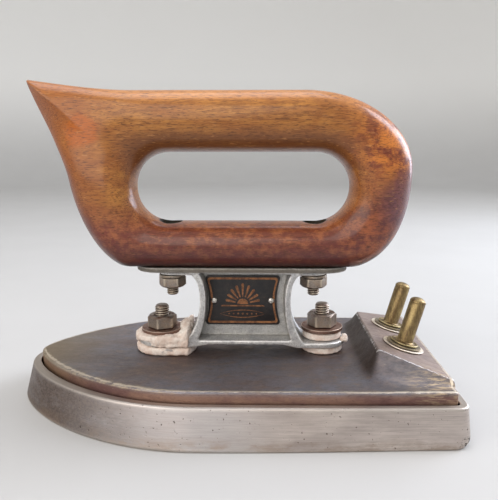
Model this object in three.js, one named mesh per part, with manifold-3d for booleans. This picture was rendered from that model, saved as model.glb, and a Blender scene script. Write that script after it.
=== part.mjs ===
// Electric clothes iron with a wooden grip on a cast bracket.
// Millimetres. +Z is up, the toe points to -X, the heel to +X.
// The origin is on the ironing face, at the middle of the sole plate.

import * as THREE from 'three';
import { mergeVertices } from 'three/addons/utils/BufferGeometryUtils.js';
import Module from 'manifold-3d';

const wasm = await Module();
wasm.setup();

// ---------------------------------------------------------------- driving dimensions

const GAP = 0.3; // clearance between pieces that rest on each other
const HOLE_PLAY = 0.3; // radial clearance of a shank in its hole
const ROUND_SEGMENTS = 16;

// Sole plate
const SOLE_LENGTH = 175;
const SOLE_WIDTH = 107; // at the widest place, across the ironing face
const HEEL_WIDTH = 100.4;
const WIDEST_X = -10;
const TOE_FULLNESS = 17; // how blunt the toe is
const TOE_SHARPENING = 1.7; // fullness lost for each millimetre of inset
const PLAN_PULL = { heel: 26, bulge: 1, side: 32, toe: 0.43 }; // how far the sides' curves hold on
const HEEL_CORNER = 5;
const HEEL_ROUND = 4.3; // rounded lower edge at the heel
const EDGE_BEVEL = 0.6; // narrow bevel round the ironing face
const RIM_TOP = 14.4;
const RIM_WALL = 2.8;
const RIM_EDGE = 0.6;
const TOE_FLARE = 3.8; // how far the wall leans in from the face to the rim
const SIDE_FLARE = 5;
const HEEL_SIDE_FLARE = 2.6;
const HEEL_FLARE = 0.8;
const SOLE_FLOOR = 8;

// Sheets between the sole and the cover
const SHEET_MARGIN = 3;
const MICA_THICKNESS = 0.5;
const RIBBON_THICKNESS = 0.4;
const RIBBON_WIDTH = 4;
const RIBBON_PITCH = 8;
const RIBBON_MARGIN = 3;
const PRESSURE_PLATE_THICKNESS = 2.4;
const INSULATION_THICKNESS = 3;
const LEAD_SLOT = { length: 4, width: 7 };

// Cover
const COVER_PLAY = 0.7; // between the cover and the rim
const COVER_WALL = 1.2;
const COVER_TOP = 18.5;
const COVER_BEVEL = { width: 1.5, height: 0.8, toe: 2.8 };
const RIDGE_FROM_HEEL = 29.5;
const HUMP_RUN = 9.5; // length of the hollow front of the hump
const HUMP_HEIGHT = 9.2; // ridge above the cover's top
const HUMP_SLOPE = THREE.MathUtils.degToRad(15.3);
const HUMP_RIDGE_HALF_WIDTH = 24.6;
const HUMP_SPREAD = 0.53; // half-width gained for each millimetre towards the heel
const HUMP_FLANK = 1.1; // run of the flank for each millimetre of height
const HUMP_REAR_ROUND = 2;

// Studs, and what is stacked on each of them
const STUD_RADIUS = 3;
const STUD_ROOT = 3;
const STUD_CHAMFER = 0.8;
const STUD_SPACING = 67.8;
const STUD_TO_HUMP = 0.7; // between the rear insulator and the hump
const LOWER_INSULATOR_THICKNESS = 2.7;
const LOWER_INSULATOR_RADIUS = 8.6;
const UPPER_INSULATOR_RADIUS = 8;
const INNER_NUT_HEIGHT = 3.2;
const STUD_NUT_FLATS = 11;
const STUD_WASHER_RADIUS = 8.7;
const STUD_STACKS = {
  front: { insulator: 2.1, washer: 1.4, nut: 4.9, reach: 4.4, turn: 0.35 },
  rear: { insulator: 2.8, washer: 1.6, nut: 5.3, reach: 4.1, turn: 0 },
};
const CEMENT = { length: 12, flank: 1, climb: 4 }; // cement lump round the front foot

// Bracket
const BRACKET_HEIGHT = 33.7;
const BRACKET_HALF_WIDTH = 9.7;
const FOOT_THICKNESS = 2.2;
const FLANGE_THICKNESS = 2.2;
const SIDE_THICKNESS = 2.4;
const WEB_THICKNESS = 4.4;
const ARCH_RISE = 1.5;
const WAIST_FROM_STUD = { front: 17.1, rear: 13.8 }; // to the side flanges, where the web is narrowest
const SHOULDER = 5; // how far the side flanges swing out at the top
const INSTEP = { front: 7, rear: 5.6 }; // and at the feet
const WAIST_RAISE = 3; // narrowest place above the casting's middle
const FLANK_PULL = { below: 7.5, above: 6, foot: 3, top: 1.5 }; // of the side flanges' curves
const BOSS = { radius: 5.2, height: 1.9 };

// Nameplate
const NAMEPLATE = { margin: 0.55, height: 21.2, waist: 1.4, thickness: 0.6, lift: 8, forward: 1.2 };
const NAMEPLATE_CORNER = 1.5;
const RIVET = { radius: 0.8, head: 1.3, dome: 0.7, fromEnd: 3.65 };

// Wooden grip
const SLOT = { frontOverhang: 9.2, rearOverhang: 10, height: 28 }; // finger slot, past each stud
const LOWER_BAR = 17.5;
const UPPER_BAR = 24.1;
const REAR_BAR = 24.3;
const FRONT_BAR = 26.2;
const GRIP_WIDTH = 26;
const SEAT_CUT = 1.8; // depth of the flat cut on the underside
const HORN = { reach: 42.2, rise: 4.4, taper: 0.45 };
const GRIP_SQUARENESS = 2.3; // exponent of the bars' oval section

// Bolts that hold the grip
const BOLT_FROM_STUD = { front: 4.8, rear: 3.9 };
const BOLT = {
  radius: 2.5, head: 4.3, headHeight: 3.2, sunk: 2, reach: 3.6, chamfer: 0.5, slotWidth: 1.2,
};
const COUNTERBORE_PLAY = 0.5;
const BOLT_WASHER = { radius: 5.5, thickness: 0.9 };
const BOLT_NUT = { flats: 10, height: 4 };

// Contact pins
const PIN = { fromHeel: 16.75, spacing: 24.8, radius: 3.2, reach: 21, shank: 2, shankReach: 6.6 };
const PIN_FLANGE = { radius: 5.4, thickness: 0.6 };
const PIN_BUSH = { radius: 8.2, thickness: 0.4, wall: 0.8 };
const PIN_RING = { radius: 6.9, thickness: 0.4 };
const PIN_WASHER = { radius: 6.8, thickness: 0.6 };
const PIN_NUT = { flats: 7, height: 2.6 };
const LEAD = { radius: 4.2, thickness: 0.5, width: 4, run: 8.5 };

// Places along X, worked out from the heel
const HEEL_X = SOLE_LENGTH / 2;
const TOE_X = -HEEL_X;
const PIN_X = HEEL_X - PIN.fromHeel;
const LEAD_X = PIN_X - LEAD.run;
const HUMP_RIDGE_X = HEEL_X - RIDGE_FROM_HEEL;
const HUMP_START_X = HUMP_RIDGE_X - HUMP_RUN;
const REAR_STUD_X = HUMP_START_X - STUD_TO_HUMP - LOWER_INSULATOR_RADIUS;
const FRONT_STUD_X = REAR_STUD_X - STUD_SPACING;
const STUDS = {
  front: { x: FRONT_STUD_X, ...STUD_STACKS.front },
  rear: { x: REAR_STUD_X, ...STUD_STACKS.rear },
};
const WAIST_FRONT_X = FRONT_STUD_X + WAIST_FROM_STUD.front;
const WAIST_REAR_X = REAR_STUD_X - WAIST_FROM_STUD.rear;
const HANDLE_BOLTS = {
  front: FRONT_STUD_X + BOLT_FROM_STUD.front,
  rear: REAR_STUD_X - BOLT_FROM_STUD.rear,
};
const SLOT_FRONT_X = FRONT_STUD_X - SLOT.frontOverhang;
const SLOT_REAR_X = REAR_STUD_X + SLOT.rearOverhang;

// ---------------------------------------------------------------- materials

const finish = (color, roughness, metalness) =>
  new THREE.MeshStandardMaterial({ color, roughness, metalness });

const FINISHES = {
  soleSteel: () => finish(0xb0a79b, 0.32, 1),
  coverSteel: () => finish(0x4b433d, 0.5, 0.9),
  boltSteel: () => finish(0x5a5046, 0.55, 0.9),
  plateIron: () => finish(0x57534f, 0.7, 0.8),
  aluminium: () => finish(0xa8a6a2, 0.5, 0.9),
  brass: () => finish(0xa08a58, 0.35, 1),
  mica: () => finish(0xc9bfa4, 0.4, 0),
  mineral: () => finish(0xd9cec2, 0.95, 0),
  resistance: () => finish(0x8b8880, 0.4, 1),
  enamel: () => finish(0x2a2320, 0.3, 0.1),
  wood: () => finish(0x9a5526, 0.3, 0),
};

// ---------------------------------------------------------------- solids

function toSolid(geometry) {
  geometry.deleteAttribute('normal');
  geometry.deleteAttribute('uv');
  const welded = mergeVertices(geometry, 1e-4);
  return new wasm.Manifold(new wasm.Mesh({
    numProp: 3,
    vertProperties: new Float32Array(welded.attributes.position.array),
    triVerts: new Uint32Array(welded.index.array),
  }));
}

function toGeometry(solid) {
  const mesh = solid.getMesh();
  const geometry = new THREE.BufferGeometry();
  geometry.setAttribute('position', new THREE.BufferAttribute(mesh.vertProperties, 3));
  geometry.setIndex(new THREE.BufferAttribute(mesh.triVerts, 1));
  return geometry;
}

const joined = (first, ...others) => others.reduce((sum, solid) => sum.add(solid), first);
const without = (first, ...others) => others.reduce((rest, solid) => rest.subtract(solid), first);

// A flat shape drawn in X and Y, made thick along Z.
function plateGeometry(shape, bottom, top, curveSegments = 5) {
  const geometry = new THREE.ExtrudeGeometry(shape, {
    depth: top - bottom, bevelEnabled: false, steps: 1, curveSegments,
  });
  return geometry.translate(0, 0, bottom);
}

// A profile drawn in X and Z, made thick along Y, the same on both sides of the middle.
function profileGeometry(shape, halfWidth, middle = 0, curveSegments = 5) {
  const geometry = new THREE.ExtrudeGeometry(shape, {
    depth: 2 * halfWidth, bevelEnabled: false, steps: 1, curveSegments,
  });
  return geometry.rotateX(Math.PI / 2).translate(0, middle + halfWidth, 0);
}

function discShape(radius, holeRadius = 0) {
  const shape = new THREE.Shape();
  shape.absarc(0, 0, radius, 0, 2 * Math.PI, false);
  if (holeRadius > 0) {
    const hole = new THREE.Path();
    hole.absarc(0, 0, holeRadius, 0, 2 * Math.PI, true);
    shape.holes.push(hole);
  }
  return shape;
}

const discGeometry = (radius, holeRadius, bottom, top) =>
  plateGeometry(discShape(radius, holeRadius), bottom, top, ROUND_SEGMENTS / 2);

const rodSolid = (radius, bottom, top, x = 0, y = 0) =>
  toSolid(discGeometry(radius, 0, bottom, top).translate(x, y, 0));

const boxSolid = (x0, x1, y0, y1, z0, z1) =>
  toSolid(new THREE.BoxGeometry(x1 - x0, y1 - y0, z1 - z0)
    .translate((x0 + x1) / 2, (y0 + y1) / 2, (z0 + z1) / 2));

// A turned piece: profile points are radius and height, from axis to axis.
function turnedGeometry(profile) {
  const points = profile.map(([radius, height]) => new THREE.Vector2(radius, height));
  return new THREE.LatheGeometry(points, ROUND_SEGMENTS).rotateX(Math.PI / 2);
}

// Hexagon nut with its upper corners chamfered by a cone.
function nutSolid(flats, bottom, top, holeRadius, turn = 0) {
  const corner = flats / Math.sqrt(3);
  const hexagon = new THREE.Shape();
  for (let i = 0; i < 6; i += 1) {
    const angle = turn + (i * Math.PI) / 3;
    const place = [corner * Math.cos(angle), corner * Math.sin(angle)];
    if (i === 0) hexagon.moveTo(...place);
    else hexagon.lineTo(...place);
  }
  const prism = toSolid(plateGeometry(hexagon, bottom, top));
  const chamfer = corner - flats / 2;
  const turned = toSolid(turnedGeometry([
    [0, bottom], [corner + 1, bottom], [corner + 1, top - chamfer * 0.6 - 1],
    [flats / 2, top], [0, top],
  ]));
  return prism.intersect(turned).subtract(rodSolid(holeRadius, bottom - 1, top + 1));
}

// A skin over a stack of closed outlines that all have the same number of points.
function loftSolid(loops) {
  const count = loops[0].length;
  const positions = loops.flat().flatMap((point) => [point.x, point.y, point.z]);
  const index = [];
  for (let level = 0; level < loops.length - 1; level += 1) {
    for (let i = 0; i < count; i += 1) {
      const a = level * count + i;
      const b = level * count + ((i + 1) % count);
      index.push(a, b, b + count, a, b + count, a + count);
    }
  }
  const flat = (loop) => loop.map((point) => new THREE.Vector2(point.x, point.y));
  const cap = THREE.ShapeUtils.triangulateShape(flat(loops[0]), []);
  const lid = THREE.ShapeUtils.triangulateShape(flat(loops.at(-1)), []);
  const last = (loops.length - 1) * count;
  cap.forEach(([a, b, c]) => index.push(a, c, b));
  lid.forEach(([a, b, c]) => index.push(last + a, last + b, last + c));
  const geometry = new THREE.BufferGeometry();
  geometry.setAttribute('position', new THREE.BufferAttribute(new Float32Array(positions), 3));
  geometry.setIndex(index);
  return toSolid(geometry);
}

// ---------------------------------------------------------------- plan outlines

// The iron's boat shape, drawn from the heel round the +Y side to the toe and back.
function planOutline({ toe, heel, side, heelSide, corner, fullness }, z, divisions = 8) {
  const half = new THREE.Path();
  const length = WIDEST_X - toe;
  half.moveTo(heel, 0);
  half.lineTo(heel, heelSide - corner);
  half.quadraticCurveTo(heel, heelSide, heel - corner, heelSide);
  half.bezierCurveTo(heel - corner - PLAN_PULL.heel, heelSide + PLAN_PULL.bulge,
    WIDEST_X + PLAN_PULL.side, side, WIDEST_X, side);
  half.bezierCurveTo(toe + PLAN_PULL.toe * length, side, toe, fullness, toe, 0);
  const upper = half.getPoints(divisions);
  const lower = upper.slice(1, -1).reverse().map((p) => new THREE.Vector2(p.x, -p.y));
  return [...upper, ...lower].map((p) => new THREE.Vector3(p.x, p.y, z));
}

// The rim's outer edge is the reference for everything that lies inside it.
const RIM = {
  toe: TOE_X + TOE_FLARE,
  heel: HEEL_X - HEEL_FLARE,
  side: SOLE_WIDTH / 2 - SIDE_FLARE,
  heelSide: HEEL_WIDTH / 2 - HEEL_SIDE_FLARE,
  corner: HEEL_CORNER,
};

const insetFromRim = (inset) => ({
  toe: RIM.toe + inset,
  heel: RIM.heel - inset,
  side: RIM.side - inset,
  heelSide: RIM.heelSide - inset,
  corner: Math.max(RIM.corner - inset, 1.5),
  fullness: Math.max(TOE_FULLNESS - TOE_SHARPENING * inset, 5),
});

const insetSolid = (inset, bottom, top) =>
  loftSolid([planOutline(insetFromRim(inset), bottom), planOutline(insetFromRim(inset), top)]);

const COVER_INSET = RIM_WALL + COVER_PLAY;
const SHEET_INSET = COVER_INSET + COVER_WALL + SHEET_MARGIN;

// Half-width of an inset outline at a station along X.
function halfWidthAt(x, inset) {
  const outline = planOutline(insetFromRim(inset), 0).filter((p) => p.y >= 0);
  for (let i = 0; i < outline.length - 1; i += 1) {
    const [a, b] = [outline[i], outline[i + 1]];
    if (x <= a.x && x > b.x) return a.y + ((b.y - a.y) * (a.x - x)) / (a.x - b.x);
  }
  return 0;
}

// ---------------------------------------------------------------- heights of the stack

const LOWER_MICA_Z = SOLE_FLOOR + GAP;
const RIBBON_Z = LOWER_MICA_Z + MICA_THICKNESS + GAP;
const UPPER_MICA_Z = RIBBON_Z + RIBBON_THICKNESS + GAP;
const PRESSURE_PLATE_Z = UPPER_MICA_Z + MICA_THICKNESS + GAP;
const INSULATION_Z = PRESSURE_PLATE_Z + PRESSURE_PLATE_THICKNESS + GAP;
const INSULATOR_Z = COVER_TOP + GAP;
const FOOT_Z = INSULATOR_Z + LOWER_INSULATOR_THICKNESS + GAP;
const FOOT_TOP = FOOT_Z + FOOT_THICKNESS;
const BRACKET_TOP = FOOT_Z + BRACKET_HEIGHT;
const FLANGE_Z = BRACKET_TOP - FLANGE_THICKNESS;
const BOSS_Z = FLANGE_Z - BOSS.height;
const SEAT_Z = BRACKET_TOP + GAP;
const SLOT_Z = SEAT_Z + LOWER_BAR;
const SLOT_TOP = SLOT_Z + SLOT.height;
const GRIP_TOP = SLOT_TOP + UPPER_BAR;

// ---------------------------------------------------------------- sole plate and sheets

function solePlate() {
  const face = {
    toe: TOE_X, heel: HEEL_X, side: SOLE_WIDTH / 2, heelSide: HEEL_WIDTH / 2,
    corner: HEEL_CORNER,
  };
  const leaning = (z, inset, heelInset) => {
    const share = Math.max(z - EDGE_BEVEL, 0) / (RIM_TOP - EDGE_BEVEL);
    return planOutline({
      toe: face.toe + TOE_FLARE * share + inset,
      heel: face.heel - heelInset,
      side: face.side - SIDE_FLARE * share - inset,
      heelSide: face.heelSide - HEEL_SIDE_FLARE * share - inset,
      corner: face.corner,
      fullness: TOE_FULLNESS,
    }, z);
  };
  const body = loftSolid([
    leaning(0, EDGE_BEVEL, HEEL_ROUND),
    leaning(EDGE_BEVEL, 0, HEEL_ROUND * 0.42),
    leaning(HEEL_ROUND, 0, 0),
    leaning(RIM_TOP - RIM_EDGE, 0, HEEL_FLARE),
    leaning(RIM_TOP, RIM_EDGE, HEEL_FLARE + RIM_EDGE),
  ]);
  const tray = insetSolid(RIM_WALL, SOLE_FLOOR, RIM_TOP + 1);
  return without(body, tray, ...studHoles(STUD_ROOT - GAP, SOLE_FLOOR + 1, HOLE_PLAY));
}

const studHoles = (bottom, top, play) =>
  Object.values(STUDS).map((stud) => rodSolid(STUD_RADIUS + play, bottom, top, stud.x));

const leadSlots = (bottom, top) => [-1, 1].map((side) => {
  const y = (side * PIN.spacing) / 2;
  return boxSolid(LEAD_X - LEAD_SLOT.length / 2, LEAD_X + LEAD_SLOT.length / 2,
    y - LEAD_SLOT.width / 2, y + LEAD_SLOT.width / 2, bottom, top);
});

function sheet(bottom, thickness, holePlay, inset = SHEET_INSET) {
  const [z0, z1] = [bottom - 1, bottom + thickness + 1];
  return without(insetSolid(inset, bottom, bottom + thickness),
    ...studHoles(z0, z1, holePlay), ...leadSlots(z0, z1));
}

const lowerMica = () => without(insetSolid(SHEET_INSET, LOWER_MICA_Z, LOWER_MICA_Z + MICA_THICKNESS),
  ...studHoles(LOWER_MICA_Z - 1, LOWER_MICA_Z + 2, HOLE_PLAY));

// One flat ribbon that runs to and fro along each side and crosses over at the toe.
function heatingElement() {
  const [z0, z1] = [RIBBON_Z, RIBBON_Z + RIBBON_THICKNESS];
  const inner = PIN.spacing / 2 - RIBBON_WIDTH / 2;
  const outerAt = (x) => halfWidthAt(x, SHEET_INSET) - RIBBON_MARGIN;
  const reachAt = (x) => Math.min(outerAt(x), outerAt(x - RIBBON_PITCH), outerAt(x + RIBBON_PITCH));
  const wideEnough = (x) => outerAt(x - RIBBON_PITCH) > inner + 2 * RIBBON_WIDTH;
  const rows = [];
  for (let x = LEAD_X; x > RIM.toe && wideEnough(x); x -= RIBBON_PITCH) rows.push(x);
  if (rows.length % 2 === 1) rows.pop();
  const half = RIBBON_WIDTH / 2;
  const pieces = [];
  [-1, 1].forEach((side) => {
    const strip = (x0, x1, near, far) => {
      const [y0, y1] = side > 0 ? [near, far] : [-far, -near];
      pieces.push(boxSolid(x0, x1, y0, y1, z0, z1));
    };
    rows.forEach((x, row) => {
      const next = rows[row + 1];
      strip(x - half, x + half, inner, reachAt(x));
      if (next === undefined) return;
      const edge = Math.min(reachAt(x), reachAt(next));
      const link = row % 2 === 0 ? [edge - RIBBON_WIDTH, edge] : [inner, inner + RIBBON_WIDTH];
      strip(next - half, x + half, ...link);
    });
  });
  const last = rows.at(-1);
  pieces.push(boxSolid(last - half, last + half, -inner - RIBBON_WIDTH, inner + RIBBON_WIDTH, z0, z1));
  return joined(...pieces);
}

function insulationSheet() {
  const [z0, z1] = [INSULATION_Z - 1, INSULATION_Z + INSULATION_THICKNESS + 1];
  const nutPlay = STUD_NUT_FLATS / Math.sqrt(3) - STUD_RADIUS + 1;
  const wells = pinPlaces().map(({ x, y }) => rodSolid(PIN_NUT.flats / Math.sqrt(3) + 2, z0, z1, x - 1, y));
  return without(sheet(INSULATION_Z, INSULATION_THICKNESS, nutPlay), ...wells);
}

// ---------------------------------------------------------------- cover

const humpRidgeZ = COVER_TOP + HUMP_HEIGHT;
const plateZ = (x) => humpRidgeZ - (x - HUMP_RIDGE_X) * Math.tan(HUMP_SLOPE);

// The hump's outer skin, or with a wall the space under it.
function hump(wall) {
  const heel = RIM.heel - COVER_INSET - wall;
  const sunk = wall / Math.cos(HUMP_SLOPE);
  const base = COVER_TOP - wall - 2;
  const ridgeX = HUMP_RIDGE_X + wall;
  const ridgeZ = plateZ(ridgeX) - sunk;
  const startX = HUMP_START_X + 2 * wall;
  const roundX = heel - HUMP_REAR_ROUND;
  const profile = new THREE.Shape();
  profile.moveTo(startX, base);
  profile.lineTo(startX, COVER_TOP - wall);
  profile.quadraticCurveTo(ridgeX - 3, COVER_TOP - wall + 0.6, ridgeX, ridgeZ);
  profile.lineTo(roundX, plateZ(roundX) - sunk);
  profile.quadraticCurveTo(heel, plateZ(heel) - sunk, heel, plateZ(heel) - sunk - HUMP_REAR_ROUND);
  profile.lineTo(heel, base);
  const ridgeSolid = toSolid(profileGeometry(profile, SOLE_WIDTH / 2));
  const section = (x) => {
    const half = HUMP_RIDGE_HALF_WIDTH + HUMP_SPREAD * (x - HUMP_RIDGE_X) - wall;
    const top = plateZ(x) - sunk;
    const foot = half + HUMP_FLANK * (top - base);
    return [[foot, base], [half, top], [-half, top], [-foot, base]]
      .map(([y, z]) => new THREE.Vector3(x, y, z));
  };
  return ridgeSolid.intersect(wedgeSolid(section(startX - 1), section(heel + 1)));
}

// A block between two four-sided faces that lie across X.
function wedgeSolid(front, rear) {
  const positions = [...front, ...rear].flatMap((point) => [point.x, point.y, point.z]);
  const index = [0, 2, 1, 0, 3, 2, 4, 5, 6, 4, 6, 7];
  for (let i = 0; i < 4; i += 1) {
    const next = (i + 1) % 4;
    index.push(i, next + 4, i + 4, i, next, next + 4);
  }
  const geometry = new THREE.BufferGeometry();
  geometry.setAttribute('position', new THREE.BufferAttribute(new Float32Array(positions), 3));
  geometry.setIndex(index);
  return toSolid(geometry);
}

function cover() {
  const shell = (wall) => {
    const inset = COVER_INSET + wall;
    const bottom = wall > 0 ? SOLE_FLOOR : SOLE_FLOOR + GAP;
    const top = insetFromRim(inset + COVER_BEVEL.width);
    const body = loftSolid([
      planOutline(insetFromRim(inset), bottom),
      planOutline(insetFromRim(inset), COVER_TOP - wall - COVER_BEVEL.height),
      planOutline({ ...top, toe: top.toe + COVER_BEVEL.toe }, COVER_TOP - wall),
    ]);
    const within = insetSolid(inset, SOLE_FLOOR, humpRidgeZ + 1);
    return joined(body, hump(wall).intersect(within));
  };
  const pinHoles = pinPlaces().map(({ x, y, z }) =>
    toSolid(discGeometry(pinHoleRadius, 0, -3 * COVER_WALL, 3 * COVER_WALL)
      .rotateY(HUMP_SLOPE).translate(x, y, z)));
  return without(shell(0), shell(COVER_WALL),
    ...studHoles(COVER_TOP - 2 * COVER_WALL, COVER_TOP + 1, 2 * HOLE_PLAY), ...pinHoles);
}

// ---------------------------------------------------------------- what stands on the studs

function studParts(name) {
  const stud = STUDS[name];
  const footTop = FOOT_TOP + GAP;
  const washerZ = footTop + stud.insulator + GAP;
  const nutZ = washerZ + stud.washer + GAP;
  const nutTop = nutZ + stud.nut;
  const end = nutTop + stud.reach;
  const hole = STUD_RADIUS + HOLE_PLAY;
  return {
    stud: turnedGeometry([
      [0, STUD_ROOT], [STUD_RADIUS, STUD_ROOT], [STUD_RADIUS, end - STUD_CHAMFER],
      [STUD_RADIUS - STUD_CHAMFER, end], [0, end],
    ]),
    innerNut: toGeometry(nutSolid(STUD_NUT_FLATS, INSULATION_Z, INSULATION_Z + INNER_NUT_HEIGHT, hole)),
    lower: discGeometry(LOWER_INSULATOR_RADIUS, hole, INSULATOR_Z, INSULATOR_Z + LOWER_INSULATOR_THICKNESS),
    upper: discGeometry(UPPER_INSULATOR_RADIUS, hole, footTop, footTop + stud.insulator),
    washer: discGeometry(STUD_WASHER_RADIUS, hole, washerZ, washerZ + stud.washer),
    nut: toGeometry(nutSolid(STUD_NUT_FLATS, nutZ, nutTop, hole, stud.turn)),
  };
}

// The front foot is bedded in a lump of cement that climbs the bracket's side flange.
function frontCement() {
  const { x, insulator } = STUDS.front;
  const halfWidth = BRACKET_HALF_WIDTH + CEMENT.flank;
  const end = x + CEMENT.length;
  const top = FOOT_TOP + GAP + insulator;
  const side = new THREE.Shape();
  side.moveTo(x - halfWidth, FOOT_Z + GAP);
  side.lineTo(end, FOOT_Z + GAP);
  side.lineTo(end, top + CEMENT.climb);
  side.lineTo(x + STUD_WASHER_RADIUS + GAP, top);
  side.lineTo(x - halfWidth, top);
  const plan = new THREE.Shape();
  plan.moveTo(end, -halfWidth);
  plan.lineTo(end, halfWidth);
  plan.lineTo(x, halfWidth);
  plan.absarc(x, 0, halfWidth, Math.PI / 2, 1.5 * Math.PI, false);
  const lump = toSolid(profileGeometry(side, halfWidth))
    .intersect(toSolid(plateGeometry(plan, FOOT_Z, top + CEMENT.climb, 8)));
  const footSpace = toSolid(profileGeometry(bracketOutline(GAP), BRACKET_HALF_WIDTH + GAP));
  return toGeometry(without(lump, footSpace, ...studHoles(FOOT_Z - 1, top + 1, HOLE_PLAY)));
}

function frontLowerInsulator() {
  const { x } = STUDS.front;
  const radius = BRACKET_HALF_WIDTH + CEMENT.flank;
  const shape = new THREE.Shape();
  shape.absarc(x, 0, radius, Math.PI / 2, 1.5 * Math.PI, false);
  shape.lineTo(x + CEMENT.length, -radius);
  shape.quadraticCurveTo(x + CEMENT.length + 5, 0, x + CEMENT.length, radius);
  const slab = toSolid(plateGeometry(shape, INSULATOR_Z, INSULATOR_Z + LOWER_INSULATOR_THICKNESS, 8));
  return toGeometry(without(slab, ...studHoles(INSULATOR_Z - 1, FOOT_TOP, HOLE_PLAY)));
}

// ---------------------------------------------------------------- bracket and nameplate

// Side view of the casting, grown all round by a margin.
function bracketOutline(margin) {
  const front = STUDS.front.x - BRACKET_HALF_WIDTH - margin;
  const rear = STUDS.rear.x + BRACKET_HALF_WIDTH + margin;
  const waistZ = (FOOT_Z + BRACKET_TOP) / 2 + WAIST_RAISE;
  const footTop = FOOT_TOP + margin;
  const flange = FLANGE_Z - margin;
  const frontX = WAIST_FRONT_X - margin;
  const rearX = WAIST_REAR_X + margin;
  const shape = new THREE.Shape();
  shape.moveTo(front, FOOT_Z - margin);
  shape.lineTo(WAIST_FRONT_X - INSTEP.front, FOOT_Z - margin);
  shape.bezierCurveTo(WAIST_FRONT_X, FOOT_Z - margin, WAIST_FRONT_X, FOOT_Z + ARCH_RISE - margin,
    WAIST_FRONT_X + INSTEP.front, FOOT_Z + ARCH_RISE - margin);
  shape.lineTo(WAIST_REAR_X - INSTEP.rear, FOOT_Z + ARCH_RISE - margin);
  shape.bezierCurveTo(WAIST_REAR_X, FOOT_Z + ARCH_RISE - margin, WAIST_REAR_X, FOOT_Z - margin,
    WAIST_REAR_X + INSTEP.rear, FOOT_Z - margin);
  shape.lineTo(rear, FOOT_Z - margin);
  shape.lineTo(rear, footTop);
  shape.lineTo(rearX + INSTEP.rear, footTop);
  shape.bezierCurveTo(rearX + INSTEP.rear / 2, footTop + FLANK_PULL.foot,
    rearX, waistZ - FLANK_PULL.below, rearX, waistZ);
  shape.bezierCurveTo(rearX, waistZ + FLANK_PULL.above,
    rearX + 1, flange - FLANK_PULL.top, rearX + SHOULDER, flange);
  shape.lineTo(rear, flange);
  shape.lineTo(rear, BRACKET_TOP + margin);
  shape.lineTo(front, BRACKET_TOP + margin);
  shape.lineTo(front, flange);
  shape.lineTo(frontX - SHOULDER, flange);
  shape.bezierCurveTo(frontX - 1, flange - FLANK_PULL.top,
    frontX, waistZ + FLANK_PULL.above, frontX, waistZ);
  shape.bezierCurveTo(frontX, waistZ - FLANK_PULL.below,
    frontX - INSTEP.front / 2, footTop + FLANK_PULL.foot, frontX - INSTEP.front, footTop);
  shape.lineTo(front, footTop);
  shape.closePath();
  return shape;
}

// The pocket on each side of the web, inside the flanges.
function bracketPocket() {
  const waistZ = (FOOT_Z + BRACKET_TOP) / 2 + WAIST_RAISE;
  const bottom = FOOT_TOP + ARCH_RISE - 0.4;
  const top = FLANGE_Z;
  const front = WAIST_FRONT_X + SIDE_THICKNESS;
  const rear = WAIST_REAR_X - SIDE_THICKNESS;
  const swing = SHOULDER - 2.2;
  const shape = new THREE.Shape();
  shape.moveTo(front - INSTEP.front / 2, bottom);
  shape.lineTo(rear + INSTEP.rear / 2, bottom);
  shape.quadraticCurveTo(rear, waistZ - 9, rear, waistZ);
  shape.quadraticCurveTo(rear, top - 4, rear + swing, top);
  shape.lineTo(front - swing, top);
  shape.quadraticCurveTo(front, top - 4, front, waistZ);
  shape.quadraticCurveTo(front, waistZ - 9, front - INSTEP.front / 2, bottom);
  return shape;
}

function bracket() {
  const plan = new THREE.Shape();
  plan.absarc(STUDS.rear.x, 0, BRACKET_HALF_WIDTH, -Math.PI / 2, Math.PI / 2, false);
  plan.lineTo(STUDS.front.x, BRACKET_HALF_WIDTH);
  plan.absarc(STUDS.front.x, 0, BRACKET_HALF_WIDTH, Math.PI / 2, 1.5 * Math.PI, false);
  const bosses = Object.entries(HANDLE_BOLTS).map(([name, x]) => {
    const waist = name === 'front' ? WAIST_FRONT_X : WAIST_REAR_X;
    const [x0, x1] = [Math.min(x, waist), Math.max(x, waist)];
    const pad = boxSolid(x0, x1, -BOSS.radius, BOSS.radius, BOSS_Z, FLANGE_Z + 1);
    return joined(rodSolid(BOSS.radius, BOSS_Z, FLANGE_Z + 1, x), pad);
  });
  const blank = toSolid(profileGeometry(bracketOutline(0), BRACKET_HALF_WIDTH))
    .intersect(toSolid(plateGeometry(plan, FOOT_Z - 1, BRACKET_TOP + 1, 8)));
  const depth = BRACKET_HALF_WIDTH - WEB_THICKNESS / 2;
  const pockets = [-1, 1].map((side) => toSolid(profileGeometry(
    bracketPocket(), depth / 2 + 0.5, side * ((BRACKET_HALF_WIDTH + WEB_THICKNESS / 2) / 2 + 0.5))));
  const boltHoles = Object.values(HANDLE_BOLTS).map((x) =>
    rodSolid(BOLT.radius + HOLE_PLAY, BOSS_Z - 1, BRACKET_TOP + 1, x));
  return without(joined(without(blank, ...pockets), ...bosses),
    ...boltHoles, ...studHoles(FOOT_Z - 1, FOOT_TOP + 1, HOLE_PLAY), ...rivetHoles());
}

// The plate fills the pocket's width at the waist, where it sits a little towards the toe.
const NAMEPLATE_X = (WAIST_FRONT_X + WAIST_REAR_X) / 2 - NAMEPLATE.forward;
const NAMEPLATE_LENGTH = WAIST_REAR_X - WAIST_FRONT_X - 2 * (SIDE_THICKNESS + NAMEPLATE.margin);
const NAMEPLATE_Z = FOOT_Z + NAMEPLATE.lift + NAMEPLATE.height / 2;
const NAMEPLATE_Y = -WEB_THICKNESS / 2 - GAP - NAMEPLATE.thickness / 2;
const rivetPlaces = () =>
  [-1, 1].map((side) => NAMEPLATE_X + side * (NAMEPLATE_LENGTH / 2 - RIVET.fromEnd));

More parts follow.
